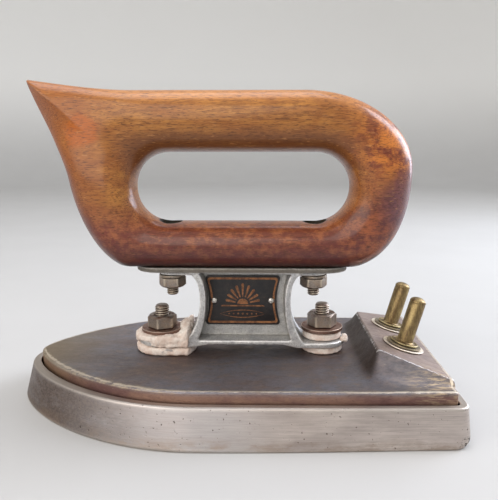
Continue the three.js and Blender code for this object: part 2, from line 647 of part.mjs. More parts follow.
const rivetHoles = (play = HOLE_PLAY) => rivetPlaces().map((x) =>
  toSolid(discGeometry(RIVET.radius + play, 0, -BRACKET_HALF_WIDTH, BRACKET_HALF_WIDTH)
    .rotateX(Math.PI / 2).translate(x, 0, NAMEPLATE_Z)));

// Enamelled plate with its ends drawn in to follow the side flanges.
function nameplate() {
  const [half, tall] = [NAMEPLATE_LENGTH / 2, NAMEPLATE.height / 2];
  const corner = NAMEPLATE_CORNER;
  const shape = new THREE.Shape();
  shape.moveTo(-half + corner, -tall);
  shape.lineTo(half - corner, -tall);
  shape.quadraticCurveTo(half, -tall, half, -tall + corner);
  shape.quadraticCurveTo(half - 2 * NAMEPLATE.waist, 0, half, tall - corner);
  shape.quadraticCurveTo(half, tall, half - corner, tall);
  shape.lineTo(-half + corner, tall);
  shape.quadraticCurveTo(-half, tall, -half, tall - corner);
  shape.quadraticCurveTo(-half + 2 * NAMEPLATE.waist, 0, -half, -tall + corner);
  shape.quadraticCurveTo(-half, -tall, -half + corner, -tall);
  const blank = toSolid(profileGeometry(shape, NAMEPLATE.thickness / 2, 0, 4)
    .translate(NAMEPLATE_X, NAMEPLATE_Y, NAMEPLATE_Z));
  return toGeometry(without(blank, ...rivetHoles()));
}

function rivetGeometry(x) {
  const face = NAMEPLATE_Y - NAMEPLATE.thickness / 2 - GAP;
  const profile = [
    [0, WEB_THICKNESS / 2 + face], [RIVET.radius, WEB_THICKNESS / 2 + face], [RIVET.radius, 0],
    [RIVET.head, 0], [RIVET.head * 0.75, RIVET.dome * 0.7], [0, RIVET.dome],
  ];
  return turnedGeometry(profile).rotateX(Math.PI / 2).translate(x, face, NAMEPLATE_Z);
}

// ---------------------------------------------------------------- wooden grip

// Outer edge of the grip in side view, with the horn at the toe end.
function gripOutline() {
  const [front, rear] = [SLOT_FRONT_X, SLOT_REAR_X];
  const bottom = SEAT_Z - SEAT_CUT;
  const back = rear + REAR_BAR;
  const backZ = SLOT_Z + 0.74 * SLOT.height;
  const topRear = rear - 19;
  const tip = { x: front - HORN.reach, z: GRIP_TOP + HORN.rise };
  const neck = { x: front - FRONT_BAR, z: SLOT_Z + 0.55 * SLOT.height };
  const path = new THREE.Path();
  path.moveTo(front - 3.2, bottom);
  path.lineTo(rear - 4, bottom);
  path.bezierCurveTo(rear + 0.57 * REAR_BAR, bottom, back, bottom + 16, back, backZ);
  path.bezierCurveTo(back, backZ + 0.55 * (GRIP_TOP - backZ), topRear + 24, GRIP_TOP, topRear, GRIP_TOP);
  path.lineTo(front - 2, GRIP_TOP);
  path.bezierCurveTo(front - 14, GRIP_TOP + 0.2, front - 28, tip.z - 1.9, tip.x + 0.7, tip.z);
  path.lineTo(tip.x, tip.z - 0.7);
  path.bezierCurveTo(tip.x + 5.5, tip.z - 15.8, neck.x - 2, neck.z + 12, neck.x, neck.z);
  path.bezierCurveTo(neck.x + 2, neck.z - 11, front - 17, bottom + 3.5, front - 3.2, bottom);
  return { points: path.getPoints(14), tip };
}

// Where a ray from a point leaves the outline, in side view.
function leave(points, origin, angle) {
  const direction = new THREE.Vector2(Math.cos(angle), Math.sin(angle));
  let reach = 0;
  for (let i = 0; i < points.length; i += 1) {
    const a = points[i].clone().sub(origin);
    const edge = points[(i + 1) % points.length].clone().sub(points[i]);
    const span = direction.cross(edge);
    if (Math.abs(span) < 1e-9) continue;
    const along = a.cross(edge) / span;
    const share = a.cross(direction) / span;
    if (share >= -1e-6 && share <= 1 + 1e-6) reach = Math.max(reach, along);
  }
  return direction.multiplyScalar(reach).add(origin);
}

// Stations round the finger slot: a centre, and the way from it across the wood.
function gripStations(tip) {
  const radius = SLOT.height / 2;
  const middle = SLOT_Z + radius;
  const front = new THREE.Vector2(SLOT_FRONT_X + radius, middle);
  const rear = new THREE.Vector2(SLOT_REAR_X - radius, middle);
  const up = Math.PI / 2;
  const hornAngle = Math.atan2(tip.z - 0.35 - middle, tip.x + 0.35 - front.x);
  const stations = [];
  const turn = (centre, from, to, steps) => {
    for (let i = 0; i < steps; i += 1) {
      stations.push({ centre, angle: from + ((to - from) * i) / steps });
    }
  };
  const slide = (from, to, angle, steps) => {
    for (let i = 0; i < steps; i += 1) {
      stations.push({ centre: from.clone().lerp(to, i / steps), angle });
    }
  };
  slide(rear, front, up, 4);
  turn(front, up, hornAngle, 6);
  turn(front, hornAngle, 3 * up, 11);
  slide(front, rear, 3 * up, 4);
  turn(rear, 3 * up, 5 * up, 13);
  return stations.map(({ centre, angle }) => ({
    centre, angle, horn: Math.max(0, 1 - Math.abs(angle - hornAngle) / 0.6),
  }));
}

function handle() {
  const { points, tip } = gripOutline();
  const around = 16;
  const stations = gripStations(tip);
  const positions = [];
  const index = [];
  const bend = (value) => Math.sign(value) * Math.abs(value) ** (2 / GRIP_SQUARENESS);
  stations.forEach(({ centre, angle, horn }) => {
    const inner = new THREE.Vector2(Math.cos(angle), Math.sin(angle))
      .multiplyScalar(SLOT.height / 2).add(centre);
    const outer = leave(points, centre, angle);
    for (let i = 0; i < around; i += 1) {
      const phase = (2 * Math.PI * i) / around;
      const across = (1 + bend(Math.cos(phase))) / 2;
      const place = inner.clone().lerp(outer, across);
      const width = (GRIP_WIDTH / 2) * (1 - HORN.taper * horn * across);
      positions.push(place.x, width * bend(Math.sin(phase)), place.y);
    }
  });
  stations.forEach((_, station) => {
    const next = (station + 1) % stations.length;
    for (let i = 0; i < around; i += 1) {
      const [a, b] = [station * around + i, station * around + ((i + 1) % around)];
      const [c, d] = [next * around + i, next * around + ((i + 1) % around)];
      index.push(a, d, c, a, b, d);
    }
  });
  const geometry = new THREE.BufferGeometry();
  geometry.setAttribute('position', new THREE.BufferAttribute(new Float32Array(positions), 3));
  geometry.setIndex(index);
  const below = boxSolid(-SOLE_LENGTH, SOLE_LENGTH, -GRIP_WIDTH, GRIP_WIDTH, SEAT_Z - 10, SEAT_Z);
  const holes = Object.values(HANDLE_BOLTS).flatMap((x) => [
    rodSolid(BOLT.radius + HOLE_PLAY, SEAT_Z - 1, SLOT_Z + 1, x),
    rodSolid(BOLT.head + COUNTERBORE_PLAY, headZ - GAP, SLOT_Z + SLOT.height / 2, x),
  ]);
  return toGeometry(without(toSolid(geometry), below, ...holes));
}

const headZ = SLOT_Z - BOLT.sunk - BOLT.headHeight;

function handleBoltParts() {
  const washerTop = BOSS_Z - GAP;
  const washerZ = washerTop - BOLT_WASHER.thickness;
  const nutTop = washerZ - GAP;
  const nutZ = nutTop - BOLT_NUT.height;
  const end = nutZ - BOLT.reach;
  const hole = BOLT.radius + HOLE_PLAY;
  const headTop = headZ + BOLT.headHeight;
  const shank = turnedGeometry([
    [0, end], [BOLT.radius - BOLT.chamfer, end], [BOLT.radius, end + BOLT.chamfer],
    [BOLT.radius, headZ], [BOLT.head, headZ], [BOLT.head, headTop - BOLT.chamfer],
    [BOLT.head - BOLT.chamfer, headTop], [0, headTop],
  ]);
  const driverSlot = boxSolid(-BOLT.head - 1, BOLT.head + 1,
    -BOLT.slotWidth / 2, BOLT.slotWidth / 2, headZ + BOLT.headHeight / 2, headTop + 1);
  const nut = toGeometry(nutSolid(BOLT_NUT.flats, -nutTop, -nutZ, hole)).rotateX(Math.PI);
  return {
    bolt: () => toGeometry(toSolid(shank.clone()).subtract(driverSlot)),
    washer: () => discGeometry(BOLT_WASHER.radius, hole, washerZ, washerTop),
    nut: () => nut.clone(),
  };
}

// ---------------------------------------------------------------- contact pins

const pinHoleRadius = PIN.shank + PIN_BUSH.wall + 2 * HOLE_PLAY;

// Middle of each pin on the cover's sloping plate.
function pinPlaces() {
  return [-1, 1].map((side) =>
    new THREE.Vector3(PIN_X, (side * PIN.spacing) / 2, plateZ(PIN_X)));
}

// Pieces of one contact, in a frame whose Z is the pin and whose origin is on the plate.
function pinParts() {
  const bushTop = GAP + PIN_BUSH.thickness;
  const ringTop = bushTop + GAP + PIN_RING.thickness;
  const flange = ringTop + GAP;
  const tip = flange + PIN_FLANGE.thickness;
  const washerTop = -COVER_WALL - GAP;
  const leadTop = washerTop - PIN_WASHER.thickness - GAP;
  const nutTop = leadTop - LEAD.thickness - GAP;
  const bore = PIN.shank + HOLE_PLAY;
  const neck = toSolid(discGeometry(bore + PIN_BUSH.wall, bore, washerTop + GAP, bushTop));
  return {
    pin: turnedGeometry([
      [0, -PIN.shankReach], [PIN.shank, -PIN.shankReach], [PIN.shank, flange],
      [PIN_FLANGE.radius, flange], [PIN_FLANGE.radius, tip], [PIN.radius, tip],
      [PIN.radius, PIN.reach - 1.6], [PIN.radius * 0.8, PIN.reach - 0.5], [PIN.radius * 0.4, PIN.reach],
      [0, PIN.reach],
    ]),
    bush: toGeometry(joined(toSolid(discGeometry(PIN_BUSH.radius, bore, GAP, bushTop)), neck)),
    ring: discGeometry(PIN_RING.radius, bore, bushTop + GAP, ringTop),
    washer: discGeometry(PIN_WASHER.radius, bore, washerTop - PIN_WASHER.thickness, washerTop),
    nut: toGeometry(nutSolid(PIN_NUT.flats, nutTop - PIN_NUT.height, nutTop, bore)),
    leadTop,
  };
}

// Strip from the pin's eye forward and down through the sheets to the element.
function leadStrip(place, leadTop) {
  const eye = discGeometry(LEAD.radius, 0, leadTop - LEAD.thickness, leadTop);
  const drop = LEAD_X - PIN_X;
  const tongue = new THREE.BoxGeometry(-drop, LEAD.width, LEAD.thickness)
    .translate(drop / 2, 0, leadTop - LEAD.thickness / 2);
  const hole = discGeometry(PIN.shank + HOLE_PLAY, 0, leadTop - 2, leadTop + 2);
  const placed = (geometry) =>
    toSolid(geometry.rotateY(HUMP_SLOPE).translate(place.x, place.y, place.z));
  const bendZ = place.z + Math.cos(HUMP_SLOPE) * leadTop - Math.sin(HUMP_SLOPE) * drop;
  const bendX = PIN_X + Math.cos(HUMP_SLOPE) * drop + Math.sin(HUMP_SLOPE) * leadTop;
  const upright = boxSolid(bendX, bendX + LEAD.thickness, place.y - LEAD.width / 2,
    place.y + LEAD.width / 2, RIBBON_Z + RIBBON_THICKNESS + GAP, bendZ - 0.1);
  return toGeometry(without(joined(placed(eye), placed(tongue), upright), placed(hole)));
}

// ---------------------------------------------------------------- assembly

const iron = new THREE.Group();

function place(name, geometry, material, parent = iron) {
  const mesh = new THREE.Mesh(geometry, material);
  mesh.name = name;
  parent.add(mesh);
  return mesh;
}

place('sole_plate', toGeometry(solePlate()), FINISHES.soleSteel());
place('lower_mica_sheet', toGeometry(lowerMica()), FINISHES.mica());
place('heating_element', toGeometry(heatingElement()), FINISHES.resistance());
place('upper_mica_sheet', toGeometry(sheet(UPPER_MICA_Z, MICA_THICKNESS, HOLE_PLAY)), FINISHES.mica());
place('pressure_plate', toGeometry(sheet(PRESSURE_PLATE_Z, PRESSURE_PLATE_THICKNESS, HOLE_PLAY)),
  FINISHES.plateIron());
place('insulation_sheet', toGeometry(insulationSheet()), FINISHES.mineral());
place('cover', toGeometry(cover()), FINISHES.coverSteel());

Object.entries(STUDS).forEach(([name, { x }]) => {
  const parts = studParts(name);
  const group = new THREE.Group();
  group.position.x = x;
  iron.add(group);
  place(`${name}_stud`, parts.stud, FINISHES.boltSteel(), group);
  place(`${name}_inner_nut`, parts.innerNut, FINISHES.boltSteel(), group);
  place(`${name}_stud_washer`, parts.washer, FINISHES.boltSteel(), group);
  place(`${name}_stud_nut`, parts.nut, FINISHES.boltSteel(), group);
  if (name === 'front') {
    place('front_lower_insulator', frontLowerInsulator(), FINISHES.mineral());
    place('front_upper_insulator', frontCement(), FINISHES.mineral());
  } else {
    place('rear_lower_insulator', parts.lower, FINISHES.mineral(), group);
    place('rear_upper_insulator', parts.upper, FINISHES.mineral(), group);
  }
});

place('bracket', toGeometry(bracket()), FINISHES.aluminium());
place('nameplate', nameplate(), FINISHES.enamel());
rivetPlaces().forEach((x, i) => {
  place(['nameplate_rivet_front', 'nameplate_rivet_rear'][i], rivetGeometry(x), FINISHES.brass());
});

place('handle', handle(), FINISHES.wood());
Object.entries(HANDLE_BOLTS).forEach(([name, x]) => {
  const parts = handleBoltParts();
  const group = new THREE.Group();
  group.position.x = x;
  iron.add(group);
  place(`${name}_handle_bolt`, parts.bolt(), FINISHES.boltSteel(), group);
  place(`${name}_handle_washer`, parts.washer(), FINISHES.boltSteel(), group);
  place(`${name}_handle_nut`, parts.nut(), FINISHES.boltSteel(), group);
});

pinPlaces().forEach((spot, i) => {
  const name = ['left', 'right'][i];
  const parts = pinParts();
  const group = new THREE.Group();
  group.position.copy(spot);
  group.rotation.y = HUMP_SLOPE;
  iron.add(group);
  place(`${name}_contact_pin`, parts.pin, FINISHES.brass(), group);
  place(`${name}_pin_bush`, parts.bush, FINISHES.mica(), group);
  place(`${name}_pin_ring`, parts.ring, FINISHES.boltSteel(), group);
  place(`${name}_pin_washer`, parts.washer, FINISHES.mica(), group);
  place(`${name}_pin_nut`, parts.nut, FINISHES.brass(), group);
  place(`${name}_lead_strip`, leadStrip(spot, parts.leadTop), FINISHES.brass());
});

export default iron;
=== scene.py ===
import math

import bmesh
import bpy
import numpy as np
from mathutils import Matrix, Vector, noise


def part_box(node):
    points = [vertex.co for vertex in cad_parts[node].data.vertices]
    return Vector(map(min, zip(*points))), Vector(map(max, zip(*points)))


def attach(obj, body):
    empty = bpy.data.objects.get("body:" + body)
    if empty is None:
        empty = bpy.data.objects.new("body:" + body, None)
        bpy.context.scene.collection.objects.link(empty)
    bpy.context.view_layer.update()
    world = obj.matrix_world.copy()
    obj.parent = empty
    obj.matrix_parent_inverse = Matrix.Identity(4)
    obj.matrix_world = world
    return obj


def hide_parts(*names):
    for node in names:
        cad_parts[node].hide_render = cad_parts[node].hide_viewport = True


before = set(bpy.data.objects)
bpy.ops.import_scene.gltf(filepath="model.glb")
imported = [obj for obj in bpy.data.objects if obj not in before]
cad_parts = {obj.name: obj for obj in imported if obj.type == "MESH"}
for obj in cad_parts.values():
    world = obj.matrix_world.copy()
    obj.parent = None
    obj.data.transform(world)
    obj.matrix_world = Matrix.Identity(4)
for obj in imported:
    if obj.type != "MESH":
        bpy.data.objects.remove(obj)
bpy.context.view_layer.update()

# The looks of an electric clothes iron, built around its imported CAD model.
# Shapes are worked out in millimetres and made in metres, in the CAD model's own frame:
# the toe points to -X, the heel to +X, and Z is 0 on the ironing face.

MM = 0.001
BODY = "root"


def span(node):
    """Lowest and highest corner of a CAD node, in millimetres."""
    low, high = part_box(node)
    return np.array(low) / MM, np.array(high) / MM


def middle(node):
    low, high = span(node)
    return (low + high) / 2


# ---------------------------------------------------------------- shape sizes

# Sole plate and cover in plan
SOLE_LOW, SOLE_HIGH = span("sole_plate")
TOE_X, HEEL_X = SOLE_LOW[0], SOLE_HIGH[0]
SOLE_HALF = SOLE_HIGH[1]
RIM_TOP = SOLE_HIGH[2]
HEEL_HALF = 50.2
WIDEST_X = -10
TOE_FULLNESS = 17
TOE_SHARPENING = 1.7
HEEL_CORNER = 5
HEEL_ROUND = 4.3
PLAN_PULL = {"heel": 26, "bulge": 1, "side": 32, "toe": 0.43}
TOE_FLARE = 3.8
SIDE_FLARE = 5
HEEL_SIDE_FLARE = 2.6
HEEL_FLARE = 0.8
EDGE_BEVEL = 0.6
RIM_WALL = 2.8
RIM_ROUND = {"outer": 0.7, "inner": 0.35}
TRAY_STEP_Z = 11
SOLE_FLOOR = 8

COVER_LOW, COVER_HIGH = span("cover")
COVER_INSET = RIM_WALL + 0.7
COVER_WALL = 1.2
COVER_TOP = 18.5
COVER_EDGE = {"width": 1.5, "height": 0.8, "toe": 2.8}
RIDGE_X = HEEL_X - 29.5
RIDGE_Z = COVER_HIGH[2]
HUMP_RUN = 9.5
HUMP_SLOPE = math.radians(15.3)
RIDGE_HALF = 24.6
HUMP_SPREAD = 0.53
HUMP_HOLLOW = 1.8

# Casting
ENDS = ("front", "rear")
STUD_HOLE = 3.3
BOLT_HOLE = 2.8
BRACKET_LOW, BRACKET_HIGH = span("bracket")
STUD_X = {end: middle(f"{end}_stud")[0] for end in ENDS}
WAIST_Z = (BRACKET_LOW[2] + BRACKET_HIGH[2]) / 2 + 3
WAIST_X = {"front": STUD_X["front"] + 17.1, "rear": STUD_X["rear"] - 13.8}
FOOT_TOP = BRACKET_LOW[2] + 2.2
FLANGE_Z = BRACKET_HIGH[2] - 2.2
SIDE_THICKNESS = 2.4
WEB_THICKNESS = 4.4
ARCH_RISE = 1.5
SHOULDER = 5
INSTEP = {"front": 7, "rear": 5.6}
BOSS = {"radius": 5.2, "height": 1.9}

# Grip
GRIP_LOW, GRIP_HIGH = span("handle")
SEAT_Z = GRIP_LOW[2]
SLOT_Z = SEAT_Z + 17.5
SLOT_HEIGHT = 28
SLOT_RADIUS = SLOT_HEIGHT / 2
SLOT_MIDDLE = SLOT_Z + SLOT_RADIUS
GRIP_TOP = SLOT_Z + SLOT_HEIGHT + 24.1
SLOT_X = (STUD_X["front"] - 9.2, STUD_X["rear"] + 10)
REAR_BAR = 24.3
FRONT_BAR = 26.2
GRIP_HALF = GRIP_HIGH[1]
SEAT_CUT = 1.8
HORN = {"reach": 42.2, "taper": 0.45}
GRIP_SQUARENESS = 2.3
HANDLE_BACK = SLOT_X[1] + REAR_BAR
NECK_X = (-46, -30)
HORN_X = (-62, -36)
STAIN_X = -56.5


# ---------------------------------------------------------------- mesh tools

def bezier(points, count):
    """Points along a curve of two to four control points, without its last point."""
    points = [np.array(p, float) for p in points]
    steps = np.linspace(0, 1, count, endpoint=False)[:, None]
    degree = len(points) - 1
    return sum(
        math.comb(degree, i) * (1 - steps) ** (degree - i) * steps**i * p
        for i, p in enumerate(points)
    )


def rounded(points, radius, steps=5):
    """A closed outline whose corners are rounded."""
    points = [np.array(p, float) for p in points]
    outline = []
    for i, corner in enumerate(points):
        before, after = points[i - 1] - corner, points[(i + 1) % len(points)] - corner
        cut = min(radius, np.linalg.norm(before) * 0.49, np.linalg.norm(after) * 0.49)
        start = corner + before / np.linalg.norm(before) * cut
        end = corner + after / np.linalg.norm(after) * cut
        outline.extend([*bezier([start, corner, end], steps), end])
    return outline


def filled(outline, step):
    """A closed outline with points put in wherever two are further apart than step."""
    dense = []
    for i, a in enumerate(outline):
        b = outline[(i + 1) % len(outline)]
        count = max(1, int(np.linalg.norm(np.subtract(b, a)) / step))
        dense.extend(np.linspace(a, b, count, endpoint=False))
    return dense


def turned(profile, sides=72, hollow=False):
    """A lathe shape about Z. Its profile of radius and height closes on itself if hollow."""
    angles = np.linspace(0, 2 * math.pi, sides, endpoint=False)
    verts, rings, faces = [], [], []
    for radius, height in profile:
        count = sides if radius > 1e-6 else 1
        rings.append(list(range(len(verts), len(verts) + count)))
        verts.extend((radius * math.cos(a), radius * math.sin(a), height) for a in angles[:count])
    for a, b in zip(rings, rings[1:] + rings[:1] if hollow else rings[1:]):
        for i in range(sides):
            j = (i + 1) % sides
            corners = [a[i % len(a)], a[j % len(a)], b[j % len(b)], b[i % len(b)]]
            corners = list(dict.fromkeys(corners))
            if len(corners) > 2:
                faces.append(corners)
    return np.array(verts), faces


def loft(rings, closed=False, ends=True):
    """A skin over rings that have the same number of points, with flat ends unless it closes on itself."""
    count = len(rings[0])
    faces = []
    for level in range(len(rings) if closed else len(rings) - 1):
        a, b = level * count, (level + 1) % len(rings) * count
        for i in range(count):
            j = (i + 1) % count
            faces.append((a + i, a + j, b + j, b + i))
    if ends and not closed:
        last = (len(rings) - 1) * count
        faces.append(tuple(range(count))[::-1])
        faces.append(tuple(range(last, last + count)))
    return np.vstack(rings), faces


def prism(outline, low, high, axis="z"):
    """A flat outline made thick along Z, or along Y if it is drawn in X and Z."""
    rings = []
    for level in (low, high):
        ring = np.array([(p[0], p[1], level) for p in outline])
        rings.append(ring if axis == "z" else ring[:, [0, 2, 1]])
    return loft(rings)


def moved(part, offset, tilt=0.0):
    """A part turned about Y by the tilt, then moved."""
    verts, faces = part
    c, s = math.cos(tilt), math.sin(tilt)
    turn = np.array([[c, 0, s], [0, 1, 0], [-s, 0, c]])
    return verts @ turn.T + np.array(offset, float), faces


def flipped(part, height):
    """A part turned upside down about the X axis at that height."""
    verts, faces = part
    return verts * (1, -1, -1) + (0, 0, 2 * height), faces


def mesh_object(name, *parts):
    """One object from parts whose vertices are in millimetres."""
    verts, faces, base = [], [], 0
    for part_verts, part_faces in parts:
        verts.append(part_verts)
        faces.extend([tuple(base + i for i in face) for face in part_faces])
        base += len(part_verts)
    mesh = bpy.data.meshes.new(name)
    mesh.from_pydata((np.vstack(verts) * MM).tolist(), [], faces)
    facing = bmesh.new()
    facing.from_mesh(mesh)
    bmesh.ops.recalc_face_normals(facing, faces=facing.faces)
    facing.to_mesh(mesh)
    facing.free()
    piece = bpy.data.objects.new(name, mesh)
    bpy.context.scene.collection.objects.link(piece)
    return piece


def joined(name, *sources):
    """A new piece from the meshes of others."""
    gathered = bmesh.new()
    for source in sources:
        gathered.from_mesh(source.data)
    piece = bpy.data.objects.new(name, bpy.data.meshes.new(name))
    gathered.to_mesh(piece.data)
    gathered.free()
    bpy.context.scene.collection.objects.link(piece)
    return piece


def apply_modifiers(piece):
    """Turns what the modifiers make into the piece's own mesh."""
    bpy.context.view_layer.update()
    shape = piece.evaluated_get(bpy.context.evaluated_depsgraph_get())
    mesh = bpy.data.meshes.new_from_object(shape)
    piece.modifiers.clear()
    piece.data = mesh


def combine(piece, operation, *parts):
    """Cuts the parts out of the piece, or keeps what it shares with them."""
    for part in parts:
        tool = mesh_object("tool", part)
        modifier = piece.modifiers.new("combine", "BOOLEAN")
        modifier.operation = operation
        modifier.solver = "EXACT"
        modifier.object = tool
        apply_modifiers(piece)
        bpy.data.objects.remove(tool)


def recast(piece, voxel, smooth):
    """Remeshes a piece into one even skin with soft edges. The voxel is in millimetres."""
    modifier = piece.modifiers.new("recast", "REMESH")
    modifier.mode = "VOXEL"
    modifier.voxel_size = voxel * MM
    softening = piece.modifiers.new("soften", "SMOOTH")
    softening.factor = 0.5
    softening.iterations = smooth
    apply_modifiers(piece)


def read_vectors(piece, name):
    values = np.empty(len(piece.data.vertices) * 3)
    piece.data.vertices.foreach_get(name, values)
    return values.reshape(-1, 3)


def read_points(piece):
    """The points of a piece, in millimetres."""
    return read_vectors(piece, "co") / MM


def read_normals(piece):
    return read_vectors(piece, "normal")


def crumble(piece, depth, size, seed):
    """Moves each point in or out by a rough noise."""
    points, normals = read_points(piece), read_normals(piece)
    offset = Vector((seed, seed * 0.7, -seed))
    for i, point in enumerate(points):
        coarse = noise.fractal(Vector(point) / size + offset, 1.0, 2.0, 4)
        points[i] += normals[i] * coarse * depth
    piece.data.vertices.foreach_set("co", (points * MM).ravel())
    piece.data.update()


def store(piece, name, values):
    attribute = piece.data.attributes.new(name, "FLOAT", "POINT")
    attribute.data.foreach_set("value", np.asarray(values, np.float32))


def mark_edges(piece, gain, blur=2):
    """Stores how strongly each point is bent outwards (wear) and inwards, where creases get dirt and painted
    shade.
    """
    points, normals = read_points(piece), read_normals(piece)
    ends = np.empty(len(piece.data.edges) * 2, int)
    piece.data.edges.foreach_get("vertices", ends)
    a, b = ends.reshape(-1, 2).T
    along = points[b] - points[a]
    bend = ((normals[b] - normals[a]) * along).sum(1) / np.maximum((along**2).sum(1), 1e-6)
    count = np.maximum(np.bincount(a, minlength=len(points)) + np.bincount(b, minlength=len(points)), 1)

    def gathered(at_a, at_b):
        return (np.bincount(a, at_a, len(points)) + np.bincount(b, at_b, len(points))) / count

    value = gathered(bend, bend)
    for _ in range(blur):
        value = (value + gathered(value[b], value[a])) / 2
    store(piece, "wear", np.clip(value * gain, 0, 1))
    # Inward bends: dirt together with painted shade in creases.
    store(piece, "grime_and_shade", np.clip(-value * gain, 0, 1))


def finish_piece(piece, material, nodes, crease=32, edges=0.6):
    """Smooths, paints and hangs a piece in the frame, in place of the CAD nodes named."""
    piece.data.materials.clear()
    piece.data.materials.append(material)
    piece.data.shade_smooth()
    piece.data.set_sharp_from_angle(angle=math.radians(crease))
    if edges:
        mark_edges(piece, edges)
    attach(piece, BODY)
    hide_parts(*nodes)
    return piece


# ---------------------------------------------------------------- material tools

def rgb(code):
    """Linear colour from a screen colour written as six hexadecimal digits."""
    parts = [int(code[i:i + 2], 16) / 255 for i in (0, 2, 4)]
    return (*[c / 12.92 if c <= 0.04045 else ((c + 0.055) / 1.055) ** 2.4 for c in parts], 1.0)


class Field:
    """A number that varies over a surface, held by a node's output."""

    def __init__(self, paint, socket):
        self.paint = paint
        self.socket = socket

    def __add__(self, other):
        return self.paint.math("ADD", self, other)

    def __mul__(self, other):
        return self.paint.math("MULTIPLY", self, other)

    def ramp(self, low, high, first=0.0, last=1.0):
        """A smooth step from first to last as the value goes from low to high."""
        node = self.paint.nodes.new("ShaderNodeMapRange")
        node.interpolation_type = "SMOOTHSTEP"
        for socket, given in zip(node.inputs, (self, low, high, first, last)):
            self.paint.put(given, socket)
        return Field(self.paint, node.outputs[0])


class Paint:
    """A procedural material. Sizes are in millimetres of the object's own frame."""

    def __init__(self, name, **values):
        self.material = bpy.data.materials.new(name)
        self.material.use_nodes = True
        self.nodes = self.material.node_tree.nodes
        self.links = self.material.node_tree.links
        self.shader = next(n for n in self.nodes if n.type == "BSDF_PRINCIPLED")
        self.place = Field(self, self.nodes.new("ShaderNodeTexCoord").outputs["Object"])
        self.color = None
        self.set(**values)

    def put(self, value, socket):
        if isinstance(value, Field):
            self.links.new(value.socket, socket)
        else:
            socket.default_value = rgb(value) if isinstance(value, str) else value

    def set(self, **values):
        for socket, value in values.items():
            self.put(value, self.shader.inputs[socket.replace("_", " ")])

    def surface(self, **values):
        """Gives the shader its finished colour and whatever else is named."""
        self.set(Base_Color=self.color, **values)

    def math(self, operation, a, b=0.0):
        node = self.nodes.new("ShaderNodeMath")
        node.operation = operation
        self.put(a, node.inputs[0])
        self.put(b, node.inputs[1])
        return Field(self, node.outputs[0])

    def spots(self, size, detail=4.0, rough=0.55, stretch=(1, 1, 1), seed=0.0, warp=0.0):
        """Noise from 0 to 1 with features of that size, drawn out along the axes by stretch."""
        mapping = self.nodes.new("ShaderNodeMapping")
        self.put(self.place, mapping.inputs["Vector"])
        mapping.inputs["Scale"].default_value = [1 / (size * MM * s) for s in stretch]
        mapping.inputs["Location"].default_value = (seed, -seed, seed * 0.5)
        node = self.nodes.new("ShaderNodeTexNoise")
        self.links.new(mapping.outputs[0], node.inputs["Vector"])
        for socket, value in {"Scale": 1.0, "Detail": detail, "Roughness": rough, "Distortion": warp}.items():
            node.inputs[socket].default_value = value
        return Field(self, node.outputs[0])

    def mix(self, share, first, second):
        node = self.nodes.new("ShaderNodeMix")
        node.data_type = "RGBA"
        for index, value in ((0, share), (6, first), (7, second)):
            self.put(value, node.inputs[index])
        return Field(self, node.outputs[2])

    def over(self, share, color):
        """Lays a colour over what is there already."""
        self.color = self.mix(share, self.color, color)

    def stored(self, name):
        node = self.nodes.new("ShaderNodeAttribute")
        node.attribute_name = name
        return Field(self, node.outputs["Fac"])

    def part(self, vector, axis):
        node = self.nodes.new("ShaderNodeSeparateXYZ")
        self.put(vector, node.inputs[0])
        return Field(self, node.outputs[axis.upper()])

    def along(self, axis):
        """Position along an axis, in millimetres."""
        return self.part(self.place, axis) * (1 / MM)

    def facing(self, axis):
        """How far the surface faces along an axis, from -1 to 1."""
        geometry = self.nodes.new("ShaderNodeNewGeometry")
        return self.part(Field(self, geometry.outputs["Normal"]), axis)

    def near(self, point, radius):
        """One at a point, falling to nothing at the radius."""
        node = self.nodes.new("ShaderNodeVectorMath")
        node.operation = "DISTANCE"
        self.put(self.place, node.inputs[0])
        node.inputs[1].default_value = [c * MM for c in point]
        return Field(self, node.outputs["Value"]).ramp(0.0, radius * MM, 1.0, 0.0)

    def relief(self, *layers):
        """Bumps, each given as a height from 0 to 1 and its depth in millimetres."""
        normal = None
        for height, depth in layers:
            node = self.nodes.new("ShaderNodeBump")
            node.inputs["Distance"].default_value = depth * MM
            self.put(height, node.inputs["Height"])
            if normal:
                self.put(normal, node.inputs["Normal"])
            normal = Field(self, node.outputs[0])
        self.set(Normal=normal)


# ---------------------------------------------------------------- materials

